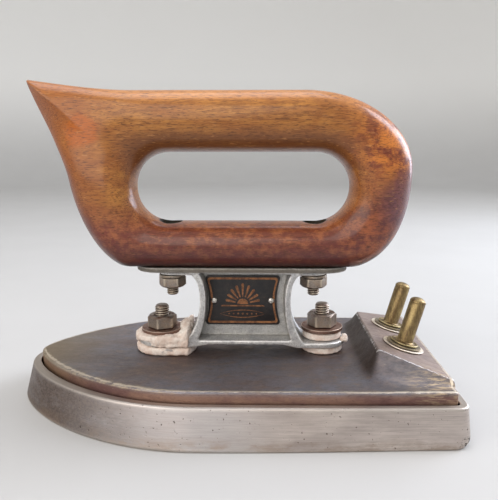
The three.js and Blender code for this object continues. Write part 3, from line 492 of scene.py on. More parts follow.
def polished_steel():
    """Satin plating, brushed along the edge, tarnished brown at the toe and pitted."""
    paint = Paint("polished_steel", Metallic=1.0)
    streaks = paint.spots(0.45, 5, 0.65, (40, 40, 1))
    hairs = paint.spots(0.22, 3, 0.6, (22, 22, 1), 17)
    clouds = paint.spots(14, 5, 0.6, (2.2, 2.2, 0.8), 3)
    blotch = paint.spots(5, 6, 0.68, (2.5, 2.5, 1), 7)
    grit = paint.spots(0.7, 5, 0.7, (1.6, 1.6, 1), 19)
    pits = paint.spots(0.9, 2, 0.4, seed=11)
    paint.color = paint.mix(clouds.ramp(0.3, 0.72), "b6aaa5", "d2c7c0")
    paint.over(streaks.ramp(0.35, 0.7, 0, 0.45), "a0968e")
    paint.over(hairs.ramp(0.5, 0.75, 0, 0.35), "8b8078")
    toe = (paint.along("x") + blotch * 56).ramp(TOE_X + 45.5, TOE_X + 95.5, 1, 0)
    slate = paint.along("x").ramp(WIDEST_X + 5, WIDEST_X + 40, 1, 0) * clouds.ramp(0.2, 0.6, 0.6, 1)
    paint.over(slate * 0.6, "8e8f94")
    brown = paint.mix(grit.ramp(0.4, 0.6), "5d504a", "796a60")
    paint.over(toe * blotch.ramp(0.25, 0.6, 0.6, 0.97), brown)
    low = paint.along("z").ramp(0.4, 6, 1, 0) * blotch.ramp(0.4, 0.6)
    paint.over(low * 0.6, "937e6d")
    top = paint.along("z").ramp(RIM_TOP - 0.45, RIM_TOP - 0.1)
    paint.over(top * 0.75, "8d8275")
    paint.over(grit.ramp(0.6, 0.78, 0, 0.4), "7b6a5c")
    paint.over(pits.ramp(0.7, 0.75, 0, 0.85), "4d4037")
    paint.over(paint.stored("wear") * 0.75, "f2ece4")
    nick = paint.near((HEEL_X - 1, -SOLE_HALF + 3, 1.5), 6)
    nick = nick * paint.spots(1.6, 4, 0.7, seed=29).ramp(0.47, 0.55)
    paint.over(nick.ramp(0.1, 0.45, 0, 0.9), "3f3630")
    paint.over(paint.stored("tray"), "2c2622")
    rough = (clouds + streaks * 0.5).ramp(0.45, 1.15, 0.3, 0.48) + (toe + top) * 0.12
    paint.surface(Roughness=rough + paint.stored("tray") * 0.3)
    paint.relief((streaks, 0.015), (hairs, 0.006), (clouds, 0.06), (pits.ramp(0.66, 0.76, 1, 0), 0.06))
    return paint.material


def browned_steel():
    """Heat-browned sheet, slate in the middle, rubbed bright along its edges."""
    paint = Paint("browned_steel", Metallic=0.85)
    clouds = paint.spots(16, 6, 0.62, (2, 1, 1), 2)
    mottle = paint.spots(3.2, 6, 0.7, (1.7, 1, 1), 5)
    fine = paint.spots(0.5, 5, 0.7, (3, 1, 1), 9)
    grain = paint.spots(0.28, 3, 0.6, (1.6, 1, 1), 41)
    scratches = paint.spots(0.35, 3, 0.5, (26, 1.6, 1), 13)
    paint.color = paint.mix(clouds.ramp(0.35, 0.66), "756a68", "807f87")
    paint.over(mottle.ramp(0.46, 0.7, 0, 0.6), "8f7a6a")
    paint.over(fine.ramp(0.48, 0.7, 0, 0.6), "4a413e")
    paint.over(grain.ramp(0.56, 0.7, 0, 0.4), "a39a92")
    toe = (paint.along("x") + mottle * 30).ramp(TOE_X + 23.5, TOE_X + 57.5, 1, 0)
    paint.over(toe * 0.75, "84765f")
    by_front = paint.near((STUD_X["front"] + 16, 0, COVER_TOP), 30)
    by_rear = paint.near((STUD_X["rear"], 0, COVER_TOP), 30)
    paint.over((by_front + by_rear).ramp(0, 1) * 0.5, "6b4f40")
    paint.over(paint.stored("front") * 0.85, "3d3028")
    plate = paint.mix(mottle.ramp(0.3, 0.7), "958580", "b09e94")
    paint.over(paint.stored("plate") * 0.85, plate)
    flank = paint.mix(mottle.ramp(0.35, 0.65), "686465", "857d7a")
    paint.over(paint.stored("flank") * 0.6, flank)
    skirt = paint.mix(clouds.ramp(0.4, 0.62), "7e5f5b", "a08070")
    skirt = paint.mix(toe * 0.8, skirt, "94785c")
    skirt = paint.mix(fine.ramp(0.5, 0.7, 0, 0.5), skirt, "5a4640")
    paint.over(paint.stored("skirt"), skirt)
    paint.over(scratches.ramp(0.66, 0.78, 0, 0.5), "b3a596")
    heel = paint.near((HEEL_X - 10, -SOLE_HALF + 14, COVER_TOP), 17)
    rub = heel * paint.spots(0.6, 5, 0.7, (9, 1.5, 1), 21).ramp(0.45, 0.6)
    paint.over(rub * 0.8, "c7b193")
    chips = paint.spots(1.5, 5, 0.75, (2.4, 1, 1), 31)
    bare = (paint.stored("edge") * 0.62 + chips * 0.9).ramp(0.86, 1.0)
    paint.over(bare * 0.8, "d8cdbb")
    ash = paint.stored("ash") * 0.7 + chips * 0.9 + fine * 0.9
    paint.over(ash.ramp(1.4, 1.8, 0, 0.7), "b8a992")
    # The hump's ridge and arris are painted near-white: rubbed metal together with a painted highlight along
    # the folds.
    crest = (paint.stored("crest") * 0.7 + chips * 0.8).ramp(0.85, 1.05)
    paint.over(crest * 0.85, "dcd8d6")
    rough = (clouds + mottle).ramp(0.7, 1.3, 0.62, 0.42)
    paint.surface(Roughness=rough + (bare + crest) * -0.08)
    paint.relief((mottle, 0.12), (fine, 0.05), (scratches, 0.015), (chips, 0.03))
    return paint.material


def bolt_steel(name="bolt_steel", body="91867e", rust="70554a", rim="dccfba"):
    """Bronzed steel, rusty in patches, with dirt and painted shade in its hollows and rubbed edges."""
    paint = Paint(name, Metallic=0.9)
    clouds = paint.spots(2.6, 6, 0.65, seed=4)
    fine = paint.spots(0.35, 4, 0.6, seed=8)
    paint.color = paint.mix(clouds.ramp(0.42, 0.62), body, rust)
    paint.over(fine.ramp(0.46, 0.68, 0, 0.65), "443b34")
    # Hollows darkened: dirt together with painted shade.
    paint.over(paint.stored("grime_and_shade") * 0.8, "241e1a")
    worn = (paint.stored("wear") + clouds * 0.6).ramp(0.55, 1.0)
    paint.over(worn * 0.85, rim)
    paint.surface(Roughness=clouds.ramp(0.3, 0.7, 0.36, 0.62) + worn * -0.12)
    paint.relief((fine, 0.06), (clouds, 0.12))
    return paint.material


def cast_aluminium():
    """Sand-cast aluminium, darkened as painted shade in the pocket and on faces turned down, with dirt and
    painted shade in its creases, browned at the top and rubbed bright on its edges.
    """
    paint = Paint("cast_aluminium", Metallic=0.6)
    clouds = paint.spots(6, 5, 0.6, seed=1)
    sand = paint.spots(0.55, 4, 0.7, seed=6)
    paint.color = paint.mix(clouds.ramp(0.35, 0.65), "b6b6b8", "d2d1cf")
    paint.over(sand.ramp(0.46, 0.68, 0, 0.65), "7b7772")
    # Painted shade: darker towards the web, deep in the pockets.
    paint.over(paint.math("ABSOLUTE", paint.along("y")).ramp(3, 7, 0.3, 0), "97958f")
    top = (paint.along("z") + clouds).ramp(FLANGE_Z + 0.3, FLANGE_Z + 1.0, 0, 0.9)
    paint.over(top, "625a4e")
    # Painted shade on the faces turned down.
    paint.over(paint.facing("z").ramp(-0.9, -0.3, 0.5, 0), "7a6f5f")
    # Creases darkened: dirt together with painted shade.
    paint.over(paint.stored("grime_and_shade") * 0.7, "66604f")
    worn = (paint.stored("wear") + clouds * 0.5).ramp(0.42, 0.95) * top.ramp(0.3, 0.8, 1, 0.25)
    paint.over(worn * 0.8, "efedea")
    paint.surface(Roughness=sand.ramp(0.3, 0.7, 0.42, 0.6) + worn * -0.12)
    paint.relief((sand, 0.14), (clouds, 0.2))
    return paint.material


def brass(name="brass", body="97825a", dull="6b5943", bright="efe3b4"):
    """Tarnished brass, streaked along the pin and rubbed bright at the ends."""
    paint = Paint(name, Metallic=1.0)
    streaks = paint.spots(0.4, 5, 0.7, (1, 1, 8), 3)
    specks = paint.spots(0.45, 4, 0.7, seed=23)
    clouds = paint.spots(2.4, 4, 0.6, (1, 1, 2.5), 5)
    paint.color = paint.mix(streaks.ramp(0.36, 0.62), dull, body)
    paint.over(clouds.ramp(0.48, 0.7, 0, 0.6), "c4b07c")
    paint.over(specks.ramp(0.52, 0.68, 0, 0.55), "5f4c3a")
    # Creases darkened: dirt together with painted shade.
    paint.over(paint.stored("grime_and_shade") * 0.8, "3a2f22")
    worn = (paint.stored("wear") + streaks * 0.5).ramp(0.6, 1.0)
    paint.over(worn * 0.85, bright)
    paint.surface(Roughness=(streaks + clouds).ramp(0.7, 1.3, 0.34, 0.52))
    paint.relief((streaks, 0.03), (clouds, 0.03))
    return paint.material


def chalk():
    """Fired mineral cement: pinkish white, porous, smeared with grey and brown."""
    paint = Paint("chalk", Roughness=0.95, Specular_IOR_Level=0.2)
    clouds = paint.spots(4.5, 6, 0.7, seed=2)
    pores = paint.spots(0.55, 5, 0.7, seed=5)
    smear = paint.spots(3.0, 3, 0.5, (2, 1, 0.6), 14)
    paint.color = paint.mix(clouds.ramp(0.35, 0.66), "dfc9bb", "f6ece2")
    paint.over(pores.ramp(0.58, 0.76, 0, 0.6), "a8907e")
    # Creases darkened: dirt together with painted shade.
    paint.over(paint.stored("grime_and_shade") * 0.7, "6b5647")
    paint.over(smear.ramp(0.66, 0.74, 0, 0.6), "76777f")
    base = (paint.along("z") + clouds * 1.6).ramp(COVER_TOP + 0.8, COVER_TOP + 1.8)
    paint.color = paint.mix(base, "8f6f5c", paint.color)
    paint.surface()
    paint.relief((pores, 0.16), (clouds, 0.25))
    return paint.material


def enamel():
    """Black stove enamel, a little chalky and chipped to brown."""
    paint = Paint("enamel", Specular_IOR_Level=0.5)
    clouds = paint.spots(3.5, 5, 0.65, seed=3)
    chips = paint.spots(0.5, 4, 0.6, seed=12)
    paint.color = paint.mix(clouds.ramp(0.35, 0.7), "131214", "2a2422")
    paint.over(chips.ramp(0.64, 0.74, 0, 0.7), "6d4c35")
    paint.surface(Roughness=clouds.ramp(0.3, 0.7, 0.28, 0.45))
    paint.relief((clouds, 0.03), (chips, 0.02))
    return paint.material


def copper_line():
    """Copper left bare where the enamel was wiped away, worn dark in places."""
    paint = Paint("copper_line", Metallic=0.55)
    clouds = paint.spots(1.8, 5, 0.7, seed=6)
    fine = paint.spots(0.3, 4, 0.6, seed=2)
    paint.color = paint.mix(clouds.ramp(0.38, 0.62), "6b4733", "a4714b")
    paint.over(fine.ramp(0.55, 0.75, 0, 0.7), "3a2a22")
    paint.surface(Roughness=clouds.ramp(0.3, 0.7, 0.4, 0.6))
    paint.relief((fine, 0.02))
    return paint.material


def bright_metal():
    """Tinned rivet heads, rubbed bright."""
    paint = Paint("bright_metal", Metallic=1.0)
    clouds = paint.spots(0.8, 4, 0.6, seed=5)
    paint.color = paint.mix(clouds.ramp(0.4, 0.65), "b9b4ac", "e9e6e0")
    # Creases darkened: dirt together with painted shade.
    paint.over(paint.stored("grime_and_shade") * 0.8, "4a3f35")
    paint.surface(Roughness=clouds.ramp(0.3, 0.7, 0.22, 0.4))
    paint.relief((clouds, 0.03))
    return paint.material


def varnished_wood():
    """Old varnished beech: fine flecks along X, orange above, plum red below and at the heel end, with
    painted light on faces turned up, painted shade on faces turned down, on those turned to the toe, on the
    horn's facet, in the counterbores and at the seat, and a violet painted reflection at the heel end.
    """
    paint = Paint("varnished_wood", Specular_IOR_Level=0.2, Coat_Weight=0.6, Coat_Roughness=0.18,
                  Coat_IOR=1.5)
    flecks = paint.spots(0.3, 3, 0.6, (9, 1.5, 1), 3, 0.4)
    dashes = paint.spots(0.55, 2, 0.5, (6, 1.5, 1), 27, 0.3)
    fibres = paint.spots(1.1, 5, 0.68, (14, 2, 1), 6, 0.3)
    bands = paint.spots(5.5, 4, 0.55, (5, 1.5, 1), 9)
    clouds = paint.spots(17, 5, 0.6, (1.6, 1, 1), 12)
    mottle = paint.spots(4.5, 7, 0.72, (1.3, 1, 1), 15)
    x, z = paint.along("x"), paint.along("z")
    up = paint.facing("z")
    paint.color = paint.mix(bands.ramp(0.35, 0.66), "a8692f", "c1823c")
    paint.over(clouds.ramp(0.4, 0.64, 0, 0.75), "8c5222")
    paint.over(mottle.ramp(0.5, 0.7, 0, 0.6), "a0612a")
    paint.over(fibres.ramp(0.42, 0.64, 0, 0.6), "7a451c")
    # Painted light and shade: faces turned up are painted lighter orange, faces turned down darker.
    paint.over(up.ramp(0.35, 0.9, 0, 0.55), "d28a3c")
    paint.over(up.ramp(-0.7, 0.25, 0.9, 0), "6a3d1c")
    low = (z + mottle * 14).ramp(SLOT_Z + 3, SLOT_Z + 20, 1, 0)
    plum = paint.mix(mottle.ramp(0.42, 0.64), "6e3128", "a05d3b")
    paint.over(low * 0.9, plum)
    lowest = (z + mottle * 6).ramp(SEAT_Z + 6, SEAT_Z + 17, 1, 0)
    paint.over(lowest * 0.8, "4b2022")
    rear = (x + clouds * 24).ramp(SLOT_X[1] + 4, SLOT_X[1] + 24)
    amber = paint.mix(mottle.ramp(0.4, 0.6), "d07c34", "742f20")
    paint.over(rear * z.ramp(SLOT_Z + 8, SLOT_Z + 26) * 0.9, amber)
    burnt = paint.mix(mottle.ramp(0.38, 0.6), "542728", "95502f")
    paint.over(rear * z.ramp(SLOT_Z + 26, SLOT_Z + 8) * 0.85, burnt)
    # Painted reflection: a violet tint at the heel end stands in for the varnish's bluish gloss.
    heel_reflection_tint = paint.near((HANDLE_BACK - 2, -7, SLOT_Z + 9), 24) + mottle * 0.6
    paint.over(heel_reflection_tint.ramp(0.5, 1.0, 0, 0.7), "63404c")
    # Painted shade on the faces of the neck and horn turned towards the toe.
    front = paint.facing("x").ramp(-0.9, -0.35, 0.85, 0)
    paint.over(front * x.ramp(NECK_X[1], NECK_X[0], 0, 1), "5a2b1f")
    # Painted shade on the facet under the horn.
    paint.over(paint.stored("facet") * 0.8, "5c2f2a")
    paint.over(x.ramp(HORN_X[0], HORN_X[1], 0.65, 0) * z.ramp(SLOT_Z + 14, SLOT_Z + 26), "a45c1e")
    patch = paint.near((STAIN_X, -GRIP_HALF + 3, SLOT_Z + 36), 13)
    stain = (patch * 1.4 + (mottle * 1.4 + fibres * 0.8)).ramp(1.55, 2.1)
    paint.over(stain * patch.ramp(0, 0.35, 0, 0.9), "b25a00")
    dusky = paint.near((SLOT_X[0] - 22, -GRIP_HALF, SLOT_Z + 14), 30) + mottle * 0.9
    paint.over(dusky.ramp(0.75, 1.35, 0, 0.55), "8a4a24")
    # Painted shade: the counterbore walls are painted dark grey.
    paint.over(paint.stored("bore"), "34332c")
    # Painted shade where the grip sits on the casting: darkest at the seat.
    paint.over(z.ramp(SEAT_Z + 0.2, SEAT_Z + 3.2, 1, 0) * 0.85, "211012")
    paint.over(flecks.ramp(0.5, 0.66, 0, 0.72), "472512")
    pale = dashes.ramp(0.6, 0.74, 0, 0.4) * low.ramp(0, 1, 1, 0.35)
    paint.over(pale, "c98f55")
    paint.surface(Roughness=(mottle + flecks).ramp(0.7, 1.3, 0.36, 0.52))
    paint.relief((flecks, 0.05), (fibres, 0.06), (mottle, 0.08))
    return paint.material


def hidden_sheet(name, first, second, metallic, rough, size):
    """Flecked sheet for the layers inside the cover."""
    paint = Paint(name, Metallic=metallic)
    clouds = paint.spots(size, 5, 0.6, seed=4)
    fine = paint.spots(size / 8, 4, 0.6, seed=9)
    paint.color = paint.mix(clouds.ramp(0.35, 0.65), first, second)
    paint.over(fine.ramp(0.55, 0.75, 0, 0.4), "40382f")
    paint.surface(Roughness=fine.ramp(0.3, 0.7, rough, rough + 0.2))
    paint.relief((fine, 0.04))
    return paint.material


def floor_paint():
    """Matt studio floor, a little paler where it sweeps up."""
    paint = Paint("floor_paint", Roughness=0.7, Specular_IOR_Level=0.2)
    clouds = paint.spots(60, 3, 0.5)
    flat = paint.mix(clouds.ramp(0.3, 0.7), "bfbebc", "c1c0be")
    paint.color = paint.mix(paint.along("z").ramp(0, 320), flat, "f2f1ee")
    paint.surface()
    return paint.material


# ---------------------------------------------------------------- sole plate

SIDE_STEPS = 110
TOE_STEPS = 90
CORNER_STEPS = 10
ACROSS = 150


def half_outline(toe, heel, side, heel_side, corner, fullness):
    """One side of the boat shape in plan, from the heel corner to the toe."""
    length = WIDEST_X - toe
    bend = bezier([(heel, heel_side - corner), (heel, heel_side), (heel - corner, heel_side)], CORNER_STEPS)
    flank = bezier([
        (heel - corner, heel_side), (heel - corner - PLAN_PULL["heel"], heel_side + PLAN_PULL["bulge"]),
        (WIDEST_X + PLAN_PULL["side"], side), (WIDEST_X, side)], SIDE_STEPS)
    bow = bezier([
        (WIDEST_X, side), (toe + PLAN_PULL["toe"] * length, side), (toe, fullness), (toe, 0)], TOE_STEPS)
    return np.vstack([bend, flank, bow, [[toe, 0]]])


def ring_from(half, z):
    """The whole outline as a loop that starts at the middle of the heel."""
    across = np.linspace(0, 1, ACROSS // 2, endpoint=False)[:, None]
    heel = half[0] * (0, 1) * across + half[0] * (1, 0)
    upper = np.vstack([heel, half])
    lower = upper[1:-1][::-1] * (1, -1)
    loop = np.vstack([upper, lower])
    return np.column_stack([loop, np.full(len(loop), z)])


RIM = {
    "toe": TOE_X + TOE_FLARE,
    "heel": HEEL_X - HEEL_FLARE,
    "side": SOLE_HALF - SIDE_FLARE,
    "heel_side": HEEL_HALF - HEEL_SIDE_FLARE,
}


def inset_outline(inset, toe_extra=0.0):
    """The rim's outline drawn in by an inset."""
    return half_outline(
        RIM["toe"] + inset + toe_extra, RIM["heel"] - inset, RIM["side"] - inset,
        RIM["heel_side"] - inset, max(HEEL_CORNER - inset, 1.5),
        max(TOE_FULLNESS - TOE_SHARPENING * inset, 5))


def sole():
    """Ironing plate: a leaning wall with a rounded rim round a tray."""
    def leaning(z, inset=0.0):
        share = max(z - EDGE_BEVEL, 0) / (RIM_TOP - EDGE_BEVEL)
        lift = max(HEEL_ROUND - z, 0)
        under = HEEL_ROUND - math.sqrt(HEEL_ROUND**2 - lift**2)
        return ring_from(half_outline(
            TOE_X + TOE_FLARE * share + inset, HEEL_X - HEEL_FLARE * share - max(inset, under),
            SOLE_HALF - SIDE_FLARE * share - inset,
            HEEL_HALF - HEEL_SIDE_FLARE * share - inset, HEEL_CORNER, TOE_FULLNESS), z)

    quarter = np.linspace(0, math.pi / 2, 6)
    outer, inner = RIM_ROUND["outer"], RIM_ROUND["inner"]
    rings = [leaning(EDGE_BEVEL * (1 - math.sin(a)), EDGE_BEVEL * (1 - math.cos(a))) for a in quarter[::-1]]
    rings += [leaning(z) for z in np.linspace(EDGE_BEVEL, RIM_TOP - outer, 26)[1:]]
    rings += [leaning(RIM_TOP - outer * (1 - math.sin(a)), outer * (1 - math.cos(a))) for a in quarter[1:]]
    rings += [
        ring_from(inset_outline(RIM_WALL - inner * (1 - math.sin(a))), RIM_TOP - inner * (1 - math.cos(a)))
        for a in quarter[:-1]]
    outside = sum(len(ring) for ring in rings)
    rings += [ring_from(inset_outline(RIM_WALL), z) for z in (RIM_TOP - 0.6, TRAY_STEP_Z, SOLE_FLOOR)]
    part = loft(rings)
    piece = mesh_object("sole_shell", part)
    store(piece, "tray", np.arange(len(part[0])) >= outside)
    return finish_piece(piece, polished_steel(), ["sole_plate"], 50)


# ---------------------------------------------------------------- cover

def soft_least(a, b, reach):
    """The lower of two heights, blended where they cross."""
    return -reach * np.logaddexp(-a / reach, -b / reach)


def soft_most(a, b, reach):
    """The higher of two heights, blended where they cross."""
    return reach * np.logaddexp(a / reach, b / reach)


def plate_height(x):
    """The sloping plate that carries the contact pins."""
    return RIDGE_Z - (x - RIDGE_X) * math.tan(HUMP_SLOPE)


def hump_parts(x, y):
    """Heights of the hump's hollow front, its sloping plate and its hollow flanks."""
    start = RIDGE_X - HUMP_RUN
    hollow = bezier([(start, COVER_TOP), (RIDGE_X - 3, COVER_TOP + 0.6), (RIDGE_X, RIDGE_Z)], 60)
    front = np.interp(x, hollow[:, 0], hollow[:, 1])
    front += np.maximum(x - RIDGE_X, 0) * 2.8
    plate = plate_height(x)
    half = RIDGE_HALF + HUMP_SPREAD * (x - RIDGE_X)
    outline = inset_outline(COVER_INSET + COVER_EDGE["width"])
    rim_half = np.interp(x, outline[::-1, 0], outline[::-1, 1])
    run = np.maximum(0.96 * rim_half - half, 2)
    left = np.clip(1 - (np.abs(y) - half) / run, 0, 3)
    flank = COVER_TOP + (plate - COVER_TOP) * left**HUMP_HOLLOW
    return front, plate, flank


def cover_height(x, y):
    """The top's height: the lowest of the hump's three faces, with softened edges, or the flat."""
    front, plate, flank = hump_parts(x, y)
    low = 1 - np.clip((np.minimum(front, flank) - COVER_TOP) / (RIDGE_Z - COVER_TOP), 0, 1)
    walls = soft_least(front, flank, 1.0 + 2.4 * low)
    hump = soft_least(walls, plate, 0.32)
    return np.maximum(soft_most(np.full_like(x, COVER_TOP - 0.3), hump, 0.35), COVER_TOP)


def cover_rings():
    """The skirt and the rolled edge, from the bottom up."""
    base = ring_from(inset_outline(COVER_INSET), 0)
    top = ring_from(inset_outline(COVER_INSET + COVER_EDGE["width"], COVER_EDGE["toe"]), 0)
    crown = cover_height(top[:, 0], top[:, 1])
    depth = COVER_EDGE["height"] + 0.6 * np.clip(crown - COVER_TOP, 0, 1)
    edge = []
    for angle in np.linspace(0, math.pi / 2, 7):
        drawn_in = 1 - math.cos(angle)
        half = inset_outline(COVER_INSET + COVER_EDGE["width"] * drawn_in, COVER_EDGE["toe"] * drawn_in)
        ring = ring_from(half, 0)
        ring[:, 2] = crown - depth * (1 - math.sin(angle))
        edge.append(ring)
    skirt = []
    for share in np.linspace(0, 1, 8, endpoint=False):
        ring = base.copy()
        ring[:, 2] = COVER_LOW[2] + (edge[0][:, 2] - COVER_LOW[2]) * share
        skirt.append(ring)
    return skirt + edge


def cover():
    """Sheet cover: a skirt, a rolled edge, and a top that swells into the contact hump."""
    rings = cover_rings()
    verts, faces = loft(rings, ends=False)
    verts = list(verts)

    # The top is a grid whose border is the last ring, so its columns run across from side to side.
    count = len(rings[0])
    border = len(verts) - count
    heel_half = ACROSS // 2
    toe = heel_half + CORNER_STEPS + SIDE_STEPS + TOE_STEPS
    columns = [[border + (j - heel_half) % count for j in range(ACROSS + 1)]]
    for i in range(heel_half + 1, toe):
        x, half, _ = rings[-1][i]
        column = [border + (count - i)]
        for share in np.linspace(-1, 1, ACROSS + 1)[1:-1]:
            column.append(len(verts))
            verts.append(np.array([x, share * half, 0.0]))
        columns.append([*column, border + i])
    for a, b in zip(columns, columns[1:]):
        faces += [(a[j], a[j + 1], b[j + 1], b[j]) for j in range(ACROSS)]
    faces += [(columns[-1][j], columns[-1][j + 1], border + toe) for j in range(ACROSS)]
    verts = np.array(verts)
    inside = slice(border + count, None)
    verts[inside, 2] = cover_height(verts[inside, 0], verts[inside, 1])

    piece = mesh_object("cover_shell", (verts, faces))
    shell = piece.modifiers.new("wall", "SOLIDIFY")
    shell.thickness = COVER_WALL * MM
    shell.offset = -1
    apply_modifiers(piece)
    paint_cover(piece)
    return finish_piece(piece, browned_steel(), ["cover"], 55, 0)


def paint_cover(piece):
    """Stores where the cover is skirt, edge, ash, hollow front, plate, flank and crest."""
    points, normals = read_points(piece), read_normals(piece)
    x, y, z = points.T
    front, plate, flank = hump_parts(x, y)
    upright = np.clip(1.4 - 2.2 * np.abs(normals[:, 2]), 0, 1)
    low = np.clip((COVER_TOP - 0.5 - z) / 0.6, 0, 1)
    store(piece, "skirt", np.where(z < COVER_TOP + 3, upright * np.maximum(low, 0.4), 0))
    outline = inset_outline(COVER_INSET)
    rim_half = np.interp(x, outline[::-1, 0], outline[::-1, 1])
    in_toe = np.clip((-x - 40) / 40, 0, 1)
    gap = np.minimum(rim_half - np.abs(y), RIM["heel"] - COVER_INSET - x) - 1.1 - 1.5 * in_toe
    store(piece, "edge", np.exp(-(gap / (0.9 + 0.7 * in_toe)) ** 2) * (z > COVER_TOP - 0.75))
    toe_side = np.clip((4 - x) / 30, 0, 1)
    shoulder = np.clip((z - COVER_TOP + 1.9) / 0.9, 0, 1) * np.exp(-(np.maximum(gap, 0) / 3.2) ** 2)
    store(piece, "ash", shoulder * toe_side)
    on_front = np.clip((flank + 2.2 - front) / 4.4, 0, 1) * np.clip((plate - front + 0.3) / 0.6, 0, 1)
    store(piece, "front", on_front * np.clip((z - COVER_TOP - 0.2) / 1.5, 0, 1) * (x < RIDGE_X + 3))
    on_plate = np.clip((flank - plate) / 0.6, 0, 1) * np.clip((front - plate) / 1.0, 0, 1)
    store(piece, "plate", on_plate * (z > COVER_TOP))
    side = np.clip((plate - flank) / 1.0, 0, 1) * np.clip((front - flank) / 2.0, 0, 1)
    store(piece, "flank", side * np.clip((x - RIDGE_X + 6) / 10, 0, 1) * (z > COVER_TOP - 0.2))
    ridge = np.exp(-((x - RIDGE_X) / 0.6) ** 2) * (flank > plate - 0.5)
    arris = np.exp(-((flank - plate) / 0.5) ** 2) * (x > RIDGE_X - 0.4)
    store(piece, "crest", np.maximum(ridge, arris) * (z > COVER_TOP + 0.5))


# ---------------------------------------------------------------- casting and nameplate

def bracket_outline():
    """Side view of the casting in X and Z."""
    low, high = BRACKET_LOW, BRACKET_HIGH
    waist = WAIST_Z
    front, rear = WAIST_X["front"], WAIST_X["rear"]
    toe, heel = INSTEP["front"], INSTEP["rear"]
    arch = low[2] + ARCH_RISE
    return np.vstack([
        [(low[0], low[2])],
        bezier([(front - toe, low[2]), (front, low[2]), (front, arch), (front + toe, arch)], 20),
        bezier([(rear - heel, arch), (rear, arch), (rear, low[2]), (rear + heel, low[2])], 20),
        [(high[0], low[2]), (high[0], FOOT_TOP)],
        bezier([(rear + heel, FOOT_TOP), (rear + heel / 2, FOOT_TOP + 3), (rear, waist - 7.5),
                (rear, waist)], 24),
        bezier([(rear, waist), (rear, waist + 6), (rear + 1, FLANGE_Z - 1.5),
                (rear + SHOULDER, FLANGE_Z)], 24),
        [(rear + SHOULDER, FLANGE_Z), (high[0], FLANGE_Z), (high[0], high[2]), (low[0], high[2]),
         (low[0], FLANGE_Z)],
        bezier([(front - SHOULDER, FLANGE_Z), (front - 1, FLANGE_Z - 1.5), (front, waist + 6),
                (front, waist)], 24),
        bezier([(front, waist), (front, waist - 7.5), (front - toe / 2, FOOT_TOP + 3),
                (front - toe, FOOT_TOP)], 24),
        [(front - toe, FOOT_TOP), (low[0], FOOT_TOP)],
    ])


def pocket_outline():
    """The hollow on each side of the web, in X and Z."""
    waist = WAIST_Z
    bottom = FOOT_TOP + ARCH_RISE - 0.4
    front, rear = WAIST_X["front"] + SIDE_THICKNESS, WAIST_X["rear"] - SIDE_THICKNESS
    toe, heel, swing = INSTEP["front"] / 2, INSTEP["rear"] / 2, SHOULDER - 2.2
    return np.vstack([
        [(front - toe, bottom)],
        bezier([(rear + heel, bottom), (rear, waist - 9), (rear, waist)], 20),
        bezier([(rear, waist), (rear, FLANGE_Z - 4), (rear + swing, FLANGE_Z)], 20),
        bezier([(front - swing, FLANGE_Z), (front, FLANGE_Z - 4), (front, waist)], 20),
        bezier([(front, waist), (front, waist - 9), (front - toe, bottom)], 20),
    ])


def disc_outline(x, radius, steps=48):
    angles = np.linspace(0, 2 * math.pi, steps, endpoint=False)
    return np.column_stack([x + radius * np.cos(angles), radius * np.sin(angles)])


def bracket():
    """Waisted casting: blank, pockets, bosses and holes, then softened as sand leaves it."""
    half = BRACKET_HIGH[1]
    piece = mesh_object("bracket_casting", prism(bracket_outline(), -half, half, "y"))
    angles = np.linspace(-math.pi / 2, math.pi / 2, 32)
    rear = np.column_stack([BRACKET_HIGH[0] - half + half * np.cos(angles), half * np.sin(angles)])
    front = np.column_stack([BRACKET_LOW[0] + half - half * np.cos(angles), -half * np.sin(angles)])
    combine(piece, "INTERSECT", prism(np.vstack([rear, front]), BRACKET_LOW[2] - 1, BRACKET_HIGH[2] + 1))
    pocket, web = pocket_outline(), WEB_THICKNESS / 2
    combine(piece, "DIFFERENCE", prism(pocket, web, half + 1, "y"), prism(pocket, -half - 1, -web, "y"))
    for end in ENDS:
        x = middle(f"{end}_handle_bolt")[0]
        boss_z = FLANGE_Z - BOSS["height"]
        reach = sorted((x, WAIST_X[end]))
        pad = [(reach[0], -BOSS["radius"]), (reach[1], -BOSS["radius"]),
               (reach[1], BOSS["radius"]), (reach[0], BOSS["radius"])]
        combine(piece, "UNION", prism(disc_outline(x, BOSS["radius"]), boss_z, FLANGE_Z + 1),
                prism(pad, boss_z, FLANGE_Z + 1))
        combine(piece, "DIFFERENCE", prism(disc_outline(x, BOLT_HOLE), boss_z - 1, BRACKET_HIGH[2] + 1),
                prism(disc_outline(STUD_X[end], STUD_HOLE), BRACKET_LOW[2] - 1, FOOT_TOP + 1))
    recast(piece, 0.36, 5)
    crumble(piece, 0.09, 1.5, 3.0)
    return finish_piece(piece, cast_aluminium(), ["bracket"], 60, 0.9)


def plate_outline(half, tall, waist, corner):
    """A plate whose ends are drawn in at the middle."""
    def end(side):
        return np.vstack([
            bezier([(side * (half - corner), -side * tall), (side * half, -side * tall),
                    (side * half, -side * (tall - corner))], 6),
            bezier([(side * half, -side * (tall - corner)), (side * (half - 2 * waist), 0),
                    (side * half, side * (tall - corner))], 24),
            bezier([(side * half, side * (tall - corner)), (side * half, side * tall),
                    (side * (half - corner), side * tall)], 6),
        ])
    return np.vstack([end(1), end(-1)])


PLATE_LOW, PLATE_HIGH = span("nameplate")
PLATE_CENTRE = (PLATE_LOW + PLATE_HIGH) / 2
PLATE_HALF, _, PLATE_TALL = (PLATE_HIGH - PLATE_LOW) / 2
PLATE_FACE = PLATE_LOW[1]
LINE = 0.1
SUN = {"radius": 2.3, "horizon": -1.6, "rays": 9, "reach": 8.6}
LENS = {"wide": 9.6, "high": 1.75, "line": 0.62, "z": -PLATE_TALL / 2 - 0.5}


